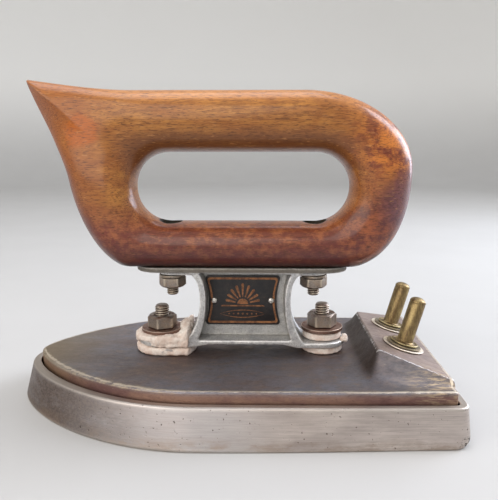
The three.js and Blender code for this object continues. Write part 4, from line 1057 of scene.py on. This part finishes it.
def nameplate():
    """Enamelled plate in the casting's pocket."""
    body = prism(plate_outline(PLATE_HALF, PLATE_TALL, 1.4, 1.5) + PLATE_CENTRE[[0, 2]],
                 PLATE_FACE, PLATE_HIGH[1], "y")
    plate = mesh_object("nameplate_enamel", body)
    bevel = plate.modifiers.new("edge", "BEVEL")
    bevel.width = 0.15 * MM
    bevel.segments = 2
    apply_modifiers(plate)
    finish_piece(plate, enamel(), ["nameplate"], 40)
    nameplate_ornament()
    rivets()


def raised(outline):
    """A line of the ornament, standing out of the enamel."""
    return prism(np.asarray(outline) + PLATE_CENTRE[[0, 2]], PLATE_FACE - LINE, PLATE_FACE, "y")


def plate_border():
    """A raised frame that follows the plate's drawn-in ends."""
    outer = plate_outline(PLATE_HALF - 0.9, PLATE_TALL - 0.8, 1.35, 1.3)
    inner = plate_outline(PLATE_HALF - 1.75, PLATE_TALL - 1.65, 1.3, 1.0)
    rings = []
    for outline, depth in ((outer, 0), (outer, -LINE), (inner, -LINE), (inner, 0)):
        flat = outline + PLATE_CENTRE[[0, 2]]
        rings.append(np.column_stack([flat[:, 0], np.full(len(flat), PLATE_FACE + depth), flat[:, 1]]))
    return loft(rings, closed=True)


def sunrise():
    """A half sun with rays above a horizon."""
    radius, horizon = SUN["radius"], SUN["horizon"]
    arc = np.linspace(0, math.pi, 24)
    parts = [raised(np.column_stack([radius * np.cos(arc), horizon + radius * np.sin(arc)]))]
    centre = np.array([0, horizon])
    for angle in np.radians(np.linspace(14, 166, SUN["rays"])):
        out = np.array([math.cos(angle), math.sin(angle)])
        side = np.array([-out[1], out[0]])
        start = centre + out * (radius + 0.8)
        end = centre + out * (SUN["reach"] - 1.6 * abs(out[0]))
        parts.append(raised([
            start - side * 0.22, end - side * 0.55, end + out * 0.4, end + side * 0.55, start + side * 0.22]))
    bar = [(-9.2, horizon - 1.0), (9.2, horizon - 1.0), (8.4, horizon - 0.45), (-8.4, horizon - 0.45)]
    return [*parts, raised(bar)]


def dotted_lens():
    """A drawn-out lens with a row of seven diamonds in it."""
    wide, high, place = LENS["wide"], LENS["high"], (0, LENS["z"])
    parts = []
    for sign in (1, -1):
        top = bezier([(-wide, 0), (0, sign * 2 * high), (wide, 0)], 30)
        under = bezier([(wide, 0), (0, sign * (2 * high - LENS["line"])), (-wide, 0)], 30)
        parts.append(raised(np.vstack([top, under[1:]]) + place))
    for i in range(-3, 4):
        size = 0.5 - 0.05 * abs(i)
        dot = [(i * 1.9 + size, 0), (i * 1.9, size), (i * 1.9 - size, 0), (i * 1.9, -size)]
        parts.append(raised(np.array(dot) + place))
    return parts


def nameplate_ornament():
    """The copper left bare: a border, a plain sunrise and a row of dots."""
    ornament = mesh_object("nameplate_ornament", plate_border(), *sunrise(), *dotted_lens())
    ornament.data.materials.append(copper_line())
    ornament.data.set_sharp_from_angle(angle=math.radians(30))
    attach(ornament, BODY)


def rivets():
    metal = bright_metal()
    for end in ENDS:
        node = f"nameplate_rivet_{end}"
        low, high = span(node)
        radius, tip = (high[0] - low[0]) / 2, low[1]
        dome = PLATE_FACE - tip
        profile = [(0, 0), (0.35 * radius, -0.02), (0.45 * radius, 0.1), (0.62 * radius, 0.06),
                   (0.85 * radius, 0.28 * dome), (radius, 0.62 * dome), (radius, 0.95 * dome),
                   (0.8, dome), (0.8, high[1] - tip), (0, high[1] - tip)]
        verts, faces = turned(profile, 48)
        verts = verts[:, [0, 2, 1]] + ((low[0] + high[0]) / 2, tip, (low[2] + high[2]) / 2)
        rivet = mesh_object(f"rivet_{end}", (verts, faces))
        finish_piece(rivet, metal, [node], 50)


# ---------------------------------------------------------------- grip

def grip_outline():
    """Outer edge of the grip in side view, with the horn at the toe end."""
    front, rear = SLOT_X
    bottom = SEAT_Z - SEAT_CUT
    back = HANDLE_BACK
    back_z = SLOT_Z + 0.74 * SLOT_HEIGHT
    top_rear = rear - 19
    tip = (front - HORN["reach"], GRIP_HIGH[2] - 0.02)
    neck = (front - FRONT_BAR, SLOT_Z + 0.55 * SLOT_HEIGHT)
    points = np.vstack([
        bezier([(front - 3.2, bottom), (rear - 4, bottom)], 40),
        bezier([(rear - 4, bottom), (rear + 0.57 * REAR_BAR, bottom), (back, bottom + 16),
                (back, back_z)], 60),
        bezier([(back, back_z), (back, back_z + 0.55 * (GRIP_TOP - back_z)), (top_rear + 24, GRIP_TOP),
                (top_rear, GRIP_TOP)], 60),
        bezier([(top_rear, GRIP_TOP), (front - 2, GRIP_TOP)], 40),
        bezier([(front - 2, GRIP_TOP), (front - 14, GRIP_TOP + 0.2), (front - 28, tip[1] - 1.9),
                (tip[0] + 0.7, tip[1])], 60),
        [(tip[0] + 0.7, tip[1])],
        bezier([(tip[0], tip[1] - 0.7), (tip[0] + 5.5, tip[1] - 15.8), (neck[0] - 2, neck[1] + 12),
                neck], 60),
        bezier([neck, (neck[0] + 2, neck[1] - 11), (front - 17, bottom + 3.5), (front - 3.2, bottom)], 60),
    ])
    return points, tip


def leave(points, origin, angle):
    """Where a ray from a point last crosses the outline."""
    direction = np.array([math.cos(angle), math.sin(angle)])
    start = points - origin
    edge = np.roll(points, -1, 0) - points
    facing = direction[0] * edge[:, 1] - direction[1] * edge[:, 0]
    facing = np.where(np.abs(facing) < 1e-9, 1e-9, facing)
    reach = (start[:, 0] * edge[:, 1] - start[:, 1] * edge[:, 0]) / facing
    share = (start[:, 0] * direction[1] - start[:, 1] * direction[0]) / facing
    hit = (share >= -1e-6) & (share <= 1 + 1e-6)
    return origin + direction * reach[hit].max()


def eased(share):
    """A share from 0 to 1 that leaves and arrives gently."""
    return share * share * (3 - 2 * share)


def blend_rings(rings, across, tip):
    """Evens out the sections round the horn, except along the outline and close to the tip."""
    steps = np.arange(-54, 55)
    weights = np.exp(-(steps / 22) ** 2)
    weights /= weights.sum()
    even = sum(w * np.roll(rings, -int(k), axis=0) for k, w in zip(steps, weights))
    away = np.hypot(rings[:, :, 0] - tip[0], rings[:, :, 2] - tip[1])
    share = eased(np.clip((away - 13) / 17, 0, 1) * np.clip((66 - away) / 14, 0, 1))
    share = share * np.clip((0.93 - across) / 0.4, 0, 1)
    return rings + (even - rings) * share[:, :, None]


def carve_horn(verts, points, centre, tip):
    """Planes a facet under the horn on both sides, and returns how much each point is on it."""
    axis = centre - tip
    whole = np.linalg.norm(axis)
    axis = axis / whole
    down = np.array([axis[1], -axis[0]])
    if down[1] > 0:
        down = -down
    edge = points[np.argmin(np.linalg.norm(points - tip, axis=1)):][:75] - tip
    edge_along, edge_below = edge @ axis, edge @ down
    order = np.argsort(edge_along)
    flat = verts[:, [0, 2]] - tip
    along, below = flat @ axis, flat @ down
    under = np.interp(along, edge_along[order], edge_below[order])
    half = (whole - SLOT_RADIUS) / 2
    bulge = np.abs(np.clip(1 - along / half, -1, 1)) ** GRIP_SQUARENESS
    taper = 1 - HORN["taper"] * (1 - along / (2 * half))
    width = GRIP_HALF * taper * (1 - bulge) ** (1 / GRIP_SQUARENESS)
    width = width * np.clip(1 - below / np.maximum(under, 0.3), 0, 1) ** 0.72
    amount = eased(np.clip((27 - along) / 15, 0, 1)) * (below > 0) * (along > -0.5)
    reach = np.abs(verts[:, 1])
    verts[:, 1] = np.sign(verts[:, 1]) * (reach + (np.minimum(reach, width) - reach) * amount)
    return amount


def grip_stations(front, rear, horn_angle):
    """Where the sections stand round the finger slot: a point on its middle line and a direction."""
    up = math.pi / 2
    return [
        *[(rear + (front - rear) * s, up) for s in np.linspace(0, 1, 70, endpoint=False)],
        *[(front, a) for a in np.linspace(up, horn_angle, 110, endpoint=False)],
        *[(front, a) for a in np.linspace(horn_angle, 3 * up, 150, endpoint=False)],
        *[(front + (rear - front) * s, 3 * up) for s in np.linspace(0, 1, 70, endpoint=False)],
        *[(rear, a) for a in np.linspace(3 * up, 5 * up, 150, endpoint=False)],
    ]


def grip_skin():
    """Oval sections round the finger slot, drawn out into the horn, and each point's share of its facet."""
    points, tip = grip_outline()
    front = np.array([SLOT_X[0] + SLOT_RADIUS, SLOT_MIDDLE])
    rear = np.array([SLOT_X[1] - SLOT_RADIUS, SLOT_MIDDLE])
    horn_angle = math.atan2(tip[1] - 0.35 - SLOT_MIDDLE, tip[0] + 0.35 - front[0])
    phases = np.linspace(0, 2 * math.pi, 128, endpoint=False)
    bent_cos, bent_sin = (
        np.sign(wave) * np.abs(wave) ** (2 / GRIP_SQUARENESS) for wave in (np.cos(phases), np.sin(phases)))
    across = (1 + bent_cos) / 2
    rings = []
    for centre, angle in grip_stations(front, rear, horn_angle):
        inner = centre + np.array([math.cos(angle), math.sin(angle)]) * SLOT_RADIUS
        outer = leave(points, centre, angle)
        horn = 0.5 + 0.5 * math.cos(math.pi * min(abs(angle - horn_angle) / 0.6, 1))
        flat = inner + (outer - inner) * across[:, None]
        width = GRIP_HALF * (1 - HORN["taper"] * horn * across) * bent_sin
        rings.append(np.column_stack([flat[:, 0], width, flat[:, 1]]))
    horn_tip = leave(points, front, horn_angle)
    verts, faces = loft(list(blend_rings(np.array(rings), across, horn_tip)), closed=True)
    facet = carve_horn(verts, points, front, horn_tip)
    verts[:, 2] = np.maximum(verts[:, 2], SEAT_Z)
    return verts, faces, facet


def grip():
    """Carved grip with a counterbored hole for each handle bolt."""
    verts, faces, facet = grip_skin()
    piece = mesh_object("grip", (verts, faces))
    # The facet under the horn, which gets painted shade.
    store(piece, "facet", facet)
    bores = []
    for end in ENDS:
        low, high = span(f"{end}_handle_bolt")
        x = (low[0] + high[0]) / 2
        wide = (high[0] - low[0]) / 2 + 0.5
        bores.append((x, wide))
        combine(piece, "DIFFERENCE", prism(disc_outline(x, wide), high[2] - 3.5, SLOT_MIDDLE),
                prism(disc_outline(x, BOLT_HOLE), SEAT_Z - 1, high[2] - 3))
    # The counterbore walls, which get painted shade.
    points = read_points(piece)
    store(piece, "bore", sum(
        (np.abs(np.hypot(points[:, 0] - x, points[:, 1]) - wide) < 0.05) & (points[:, 2] < SLOT_Z + 8)
        for x, wide in bores))
    return finish_piece(piece, varnished_wood(), ["handle"], 38, 0.5)


# ---------------------------------------------------------------- fasteners

STUD_THREAD = {"pitch": 1.0, "depth": 0.36, "chamfer": 0.8}
BOLT_THREAD = {"pitch": 0.9, "depth": 0.32, "chamfer": 0.6}
STUD_NUT_FLATS = 11
BOLT_NUT_FLATS = 10
STUD_NUT_TURN = {"front": 0.35, "rear": 0.0}
BOLT_RADIUS = 2.5
BOLT_HEAD = 3.2
BOLT_WASHER = 5.5


def threaded(radius, low, high, pitch, depth, chamfer):
    """A screwed end with a chamfered tip at the top."""
    sides = 48
    angles = np.linspace(0, 2 * math.pi, sides, endpoint=False)
    rings = []
    for z in np.arange(low, high + 1e-6, pitch / 9):
        turn = (z / pitch - angles / (2 * math.pi)) % 1
        groove = 1 - np.abs(2 * turn - 1)
        fade = min(1, (z - low) / pitch)
        reach = radius - depth * np.clip(groove * 1.5 - 0.25, 0, 1) * fade
        reach = np.minimum(reach, radius - chamfer + max(0, high - z) * 0.9)
        rings.append(np.column_stack([reach * np.cos(angles), reach * np.sin(angles), np.full(sides, z)]))
    return loft(rings)


def rod(radius, low, high):
    return turned([(0, low), (radius, low), (radius, high), (0, high)], 48)


def nut(flats, low, high, hole, turn=0.0):
    """Hexagon nut, chamfered above."""
    sides = 144
    angles = np.linspace(0, 2 * math.pi, sides, endpoint=False) + turn
    sector = (angles - turn) % (math.pi / 3) - math.pi / 6
    wall = np.minimum(flats / 2 / np.cos(sector), flats / math.sqrt(3) * 0.975)
    shoulder = high - np.maximum(wall - flats / 2 * 0.97, 0) * 0.8

    def ring(radius, z):
        return np.column_stack([
            radius * np.cos(angles), radius * np.sin(angles), np.broadcast_to(z, angles.shape)])

    soft = 0.15
    return loft([
        ring(hole, low), ring(wall - soft, low), ring(wall, low + soft), ring(wall, shoulder - soft),
        ring(wall - soft, shoulder), ring(np.full(sides, flats / 2 * 0.95), high),
        ring(np.full(sides, hole + 0.5), high), ring(np.full(sides, hole), high - 0.45),
    ], closed=True)


def washer(radius, hole, low, high, soft=0.3):
    return turned(rounded([(hole, low), (radius, low), (radius, high), (hole, high)], soft), 96, True)


def stud_stack(end, steel, washer_steel):
    """Everything on one stud that shows above the cover."""
    at = (STUD_X[end], 0, 0)
    stud_low, stud_high = span(f"{end}_stud")
    radius = (stud_high[1] - stud_low[1]) / 2
    nut_low, nut_high = span(f"{end}_stud_nut")
    low, high = span(f"{end}_stud_washer")
    hexagon = nut(STUD_NUT_FLATS, nut_low[2], nut_high[2], radius + 0.12, STUD_NUT_TURN[end])
    stud = mesh_object(
        f"{end}_screwed_stud",
        moved(rod(radius - 0.1, stud_low[2], nut_high[2] - 0.8), at),
        moved(threaded(radius, nut_high[2] - 1, stud_high[2], **STUD_THREAD), at))
    finish_piece(stud, steel, [f"{end}_stud"], 60, 0.35)
    piece = mesh_object(f"{end}_hexagon_nut", moved(hexagon, at))
    finish_piece(piece, steel, [f"{end}_stud_nut"], 30, 0.5)
    disc = washer((high[1] - low[1]) / 2, radius + 0.3, low[2], high[2])
    piece = mesh_object(f"{end}_clamp_washer", moved(disc, at))
    finish_piece(piece, washer_steel, [f"{end}_stud_washer"], 50, 0.4)


def chalk_disc(name, node, stone, seed):
    """A round mineral insulator with crumbled edges."""
    low, high = span(node)
    radius = (high[1] - low[1]) / 2
    outline = rounded([
        (STUD_HOLE, low[2]), (radius, low[2]), (radius, high[2]), (STUD_HOLE, high[2])], 0.7)
    piece = mesh_object(name, moved(turned(filled(outline, 0.4), 110, True), (middle(node)[0], 0, 0)))
    crumble(piece, 0.22, 1.3, seed)
    finish_piece(piece, stone, [node], 70, 0.35)


def cement_lump(name, node, stone, seed, depth, *lumps):
    """The front foot's bedding: the CAD solid worn round, swollen a little and crumbled."""
    extras = [mesh_object("lumps", *lumps)] if lumps else []
    piece = joined(name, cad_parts[node], *extras)
    for extra in extras:
        bpy.data.objects.remove(extra)
    recast(piece, 0.42, 22)
    piece.data.vertices.foreach_set("co", ((read_points(piece) + read_normals(piece) * 0.3) * MM).ravel())
    crumble(piece, depth, 3.2, seed)
    crumble(piece, depth * 0.45, 0.9, seed + 5)
    finish_piece(piece, stone, [node], 75, 0.35)


def egg(place, size):
    """An ellipsoid with half-sizes along each axis."""
    angles = np.linspace(-math.pi / 2, math.pi / 2, 16)
    verts, faces = turned([(math.cos(a), math.sin(a)) for a in angles], 28)
    return verts * size + np.array(place), faces


def crumb(name, stone, place, size, seed):
    """A loose lump of cement left on the rear foot."""
    piece = mesh_object(name, egg(place, (size, size, size * 0.8)))
    crumble(piece, size * 0.45, size * 0.9, seed)
    finish_piece(piece, stone, [], 75, 0.35)


def handle_bolts(steel):
    """Slotted bolts sunk in the grip, with a washer and a nut under the casting."""
    for end in ENDS:
        low, high = span(f"{end}_handle_bolt")
        x = (low[0] + high[0]) / 2
        at = (x, 0, 0)
        head = (high[0] - low[0]) / 2
        head_z = high[2] - BOLT_HEAD
        crown = mesh_object("crown", moved(turned([
            (0, head_z), (head, head_z), (head, high[2] - 0.7), (head - 0.25, high[2] - 0.3),
            (head - 0.8, high[2] - 0.05), (head * 0.5, high[2]), (0, high[2])], 64), at))
        combine(crown, "DIFFERENCE", prism(
            [(x - 6, -0.6), (x + 6, -0.6), (x + 6, 0.6), (x - 6, 0.6)], high[2] - 1.4, high[2] + 1))
        screw = threaded(BOLT_RADIUS, low[2], low[2] + 6.4, **BOLT_THREAD)
        shank = mesh_object(
            "shank", moved(rod(BOLT_RADIUS - 0.1, low[2] + 6, head_z + 0.1), at),
            moved(flipped(screw, low[2] + 3.2), at))
        piece = joined(f"{end}_grip_bolt", crown, shank)
        bpy.data.objects.remove(crown)
        bpy.data.objects.remove(shank)
        finish_piece(piece, steel, [f"{end}_handle_bolt"], 45, 0.4)

        low, high = span(f"{end}_handle_nut")
        hexagon = flipped(nut(BOLT_NUT_FLATS, low[2], high[2], BOLT_RADIUS + 0.12), (low[2] + high[2]) / 2)
        piece = mesh_object(f"{end}_grip_nut", moved(hexagon, at))
        finish_piece(piece, steel, [f"{end}_handle_nut"], 30, 0.5)
        low, high = span(f"{end}_handle_washer")
        disc = washer(BOLT_WASHER, BOLT_HOLE, low[2], high[2], 0.25)
        piece = mesh_object(f"{end}_grip_washer", moved(disc, at))
        finish_piece(piece, steel, [f"{end}_handle_washer"], 50, 0.4)


# ---------------------------------------------------------------- contact pins

PIN_X = HEEL_X - 16.75
PIN_REACH = 21
PIN_RADIUS = 3.2
PIN_DOME = 1.9
SHANK = {"radius": 2, "reach": 6.6}
FLANGE = {"radius": 5.4, "base": 1.7, "top": 2.3}
RING_HOLE = 2.3
BUSH = {"radius": 8.2, "low": 0.3, "high": 0.7, "tube": 3.0, "tube_low": -1.0, "tube_high": 0.6}
DARK_RING = {"radius": 6.9, "low": 1.0, "high": 1.4}


def ring_part(radius, low, high, soft=0.14, steps=3, sides=96):
    """A flat ring round the shank of a pin."""
    corners = [(RING_HOLE, low), (radius, low), (radius, high), (RING_HOLE, high)]
    return turned(rounded(corners, soft, steps), sides, True)


def pin_profile():
    """A shank, a turned flange with a groove, and a shaft with a neck and a domed tip."""
    radius, base, top = FLANGE["radius"], FLANGE["base"], FLANGE["top"]
    shank = [(0, -SHANK["reach"]), (SHANK["radius"], -SHANK["reach"]), (SHANK["radius"], base),
             (SHANK["radius"] + 0.4, base + 0.02)]
    flange = [(radius - 0.1, base + 0.02), (radius, base + 0.15), (radius, top - 0.15),
              (radius - 0.15, top), (4.5, top), (4.4, top - 0.1), (4.2, top - 0.1), (4.1, top)]
    root = [(PIN_RADIUS + 0.5, top), (PIN_RADIUS + 0.05, top + 0.35), (PIN_RADIUS, top + 1)]
    neck = [(PIN_RADIUS - depth, PIN_REACH - down)
            for depth, down in ((0, 2.6), (0.12, 2.4), (0.12, 2.2), (0, 2.0))]
    dome = [(PIN_RADIUS * math.cos(a), PIN_REACH - PIN_DOME + PIN_DOME * math.sin(a))
            for a in np.linspace(0, math.pi / 2, 10)]
    return shank + flange + root + neck + dome


def contact_pins(ring_steel):
    """Brass pins with domed tips, each on a stack of thin rings."""
    pale = brass("pale_ring", "cbb9a6", "8c7564", "fbf1e2")
    bush = [ring_part(BUSH["radius"], BUSH["low"], BUSH["high"]),
            ring_part(BUSH["tube"], BUSH["tube_low"], BUSH["tube_high"], 0.1, 2, 64)]
    looks = (
        ("brass_pin", "contact_pin", "pin_brass", brass(), [turned(pin_profile(), 64)]),
        ("wide_ring", "pin_bush", "mica", pale, bush),
        ("dark_ring", "pin_ring", "ring_steel", ring_steel, [ring_part(**DARK_RING)]),
    )
    for side in ("left", "right"):
        at = (PIN_X, middle(f"{side}_contact_pin")[1], plate_height(PIN_X))
        for name, node, slot, material, parts in looks:
            piece = mesh_object(f"{side}_{name}", *[moved(part, at, HUMP_SLOPE) for part in parts])
            finish_piece(piece, material, [f"{side}_{node}"], 40, 0.4)


# ---------------------------------------------------------------- layers inside the cover

def dress_hidden_nodes(steel):
    """The sheets, strips and nuts that the cover hides keep their CAD shape."""
    mica = hidden_sheet("mica_sheet", "c9bfa4", "b3a37f", 0.0, 0.3, 9)
    looks = {
        "lower_mica_sheet": mica,
        "upper_mica_sheet": mica,
        "left_pin_washer": mica,
        "right_pin_washer": mica,
        "heating_element": hidden_sheet("resistance_ribbon", "8b8880", "6f6459", 0.9, 0.35, 6),
        "pressure_plate": hidden_sheet("plate_iron", "57534f", "6b5445", 0.8, 0.55, 12),
        "insulation_sheet": hidden_sheet("mineral_board", "cbbfb0", "e0d6ca", 0.0, 0.8, 7),
    }
    lead = hidden_sheet("lead_brass", "a08a58", "7e6a42", 0.9, 0.35, 3)
    for side in ("left", "right"):
        looks[f"{side}_lead_strip"] = lead
        looks[f"{side}_pin_nut"] = lead
    for end in ENDS:
        looks[f"{end}_inner_nut"] = steel
    for node, material in looks.items():
        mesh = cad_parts[node].data
        mesh.materials.clear()
        mesh.materials.append(material)


# ---------------------------------------------------------------- stage, lights and camera

FLOOR_RADIUS = 1200
FLOOR_BEND = 500
WALL_TOP = 2200


def stage():
    """A pale round floor that sweeps up into a wall all round, open above."""
    bend = [
        (FLOOR_RADIUS + FLOOR_BEND * math.sin(a), FLOOR_BEND * (1 - math.cos(a)))
        for a in np.linspace(0, math.pi / 2, 24)]
    profile = [(0, 0), *bend, (FLOOR_RADIUS + FLOOR_BEND, WALL_TOP)]
    floor = mesh_object("floor", turned(profile, 96))
    floor.data.shade_smooth()
    floor.data.materials.append(floor_paint())
    world = bpy.data.worlds.new("studio")
    world.use_nodes = True
    background = next(n for n in world.node_tree.nodes if n.type == "BACKGROUND")
    background.inputs["Color"].default_value = rgb("e6e8ec")
    background.inputs["Strength"].default_value = 0.8
    bpy.context.scene.world = world
    bpy.context.scene.view_settings.view_transform = "Standard"


def softbox(name, place, aim, size, power, color, spread=180):
    """A soft light that the camera doesn't see."""
    data = bpy.data.lights.new(name, "AREA")
    data.shape = "RECTANGLE"
    data.size, data.size_y = size
    data.energy = power
    data.color = rgb(color)[:3]
    data.spread = math.radians(spread)
    light = bpy.data.objects.new(name, data)
    light.visible_camera = False
    light.location = place
    light.rotation_mode = "QUATERNION"
    light.rotation_quaternion = (Vector(aim) - Vector(place)).to_track_quat("-Z", "Y")
    bpy.context.scene.collection.objects.link(light)


CAMERA_PLACE = (0.0125, -0.2327, 0.1052)
CAMERA_PITCH = 0.187
CAMERA_YAW = -0.018
CAMERA_LENS = 41.04


def camera():
    """The photograph's viewpoint."""
    data = bpy.data.cameras.new("camera")
    data.lens = CAMERA_LENS
    data.clip_start = 0.01
    view = bpy.data.objects.new("camera", data)
    view.location = CAMERA_PLACE
    view.rotation_euler = (math.pi / 2 - CAMERA_PITCH, 0, -CAMERA_YAW)
    bpy.context.scene.collection.objects.link(view)
    bpy.context.scene.camera = view


# ---------------------------------------------------------------- the iron

stage()
camera()
softbox("key", (0.75, 0.2, 0.55), (0.02, 0, 0.07), (0.4, 0.7), 7.0, "f0f5ff")
softbox("fill", (-0.5, -0.75, 0.6), (-0.02, 0, 0.06), (1.3, 0.9), 7.5, "fff8f0")
softbox("rim", (0.75, 0.5, 0.28), (0.05, 0, 0.09), (0.3, 0.5), 1.1, "dfe9ff", 110)
softbox("overhead", (-0.1, 0.2, 0.9), (0, 0, 0.05), (0.8, 0.5), 3.2, "f6f7ff")

fastener = bolt_steel()
red_washer = bolt_steel("washer_steel", "8f7468", "7d5648", "b9a596")
sole()
cover()
bracket()
nameplate()
grip()
stone = chalk()
for stack_end in ENDS:
    stud_stack(stack_end, fastener, red_washer)
chalk_disc("rear_lower_chalk", "rear_lower_insulator", stone, 7.0)
chalk_disc("rear_upper_chalk", "rear_upper_insulator", stone, 9.0)
cement_lump("front_lower_chalk", "front_lower_insulator", stone, 3.0, 0.3)
climb_x = STUD_X["front"] + 10.2
cement_lump("front_cement", "front_upper_insulator", stone, 11.0, 0.6,
            egg((climb_x, -6.2, FOOT_TOP + 2.2), (3.0, 3.6, 2.4)),
            egg((climb_x, 0, FOOT_TOP + 3.4), (2.2, 6.5, 3.2)),
            egg((climb_x - 0.4, 5.5, FOOT_TOP + 2.6), (2.8, 4.2, 2.8)))
crumb("rear_crumb", stone, (STUD_X["rear"] + 9.0, -4.2, FOOT_TOP + 0.2), 1.5, 2.0)
crumb("rear_small_crumb", stone, (STUD_X["rear"] + 9.3, -2.4, FOOT_TOP + 1.2), 1.0, 6.0)
handle_bolts(fastener)
contact_pins(bolt_steel("ring_steel", "4a433c", "5c4638", "9c8f78"))
dress_hidden_nodes(fastener)
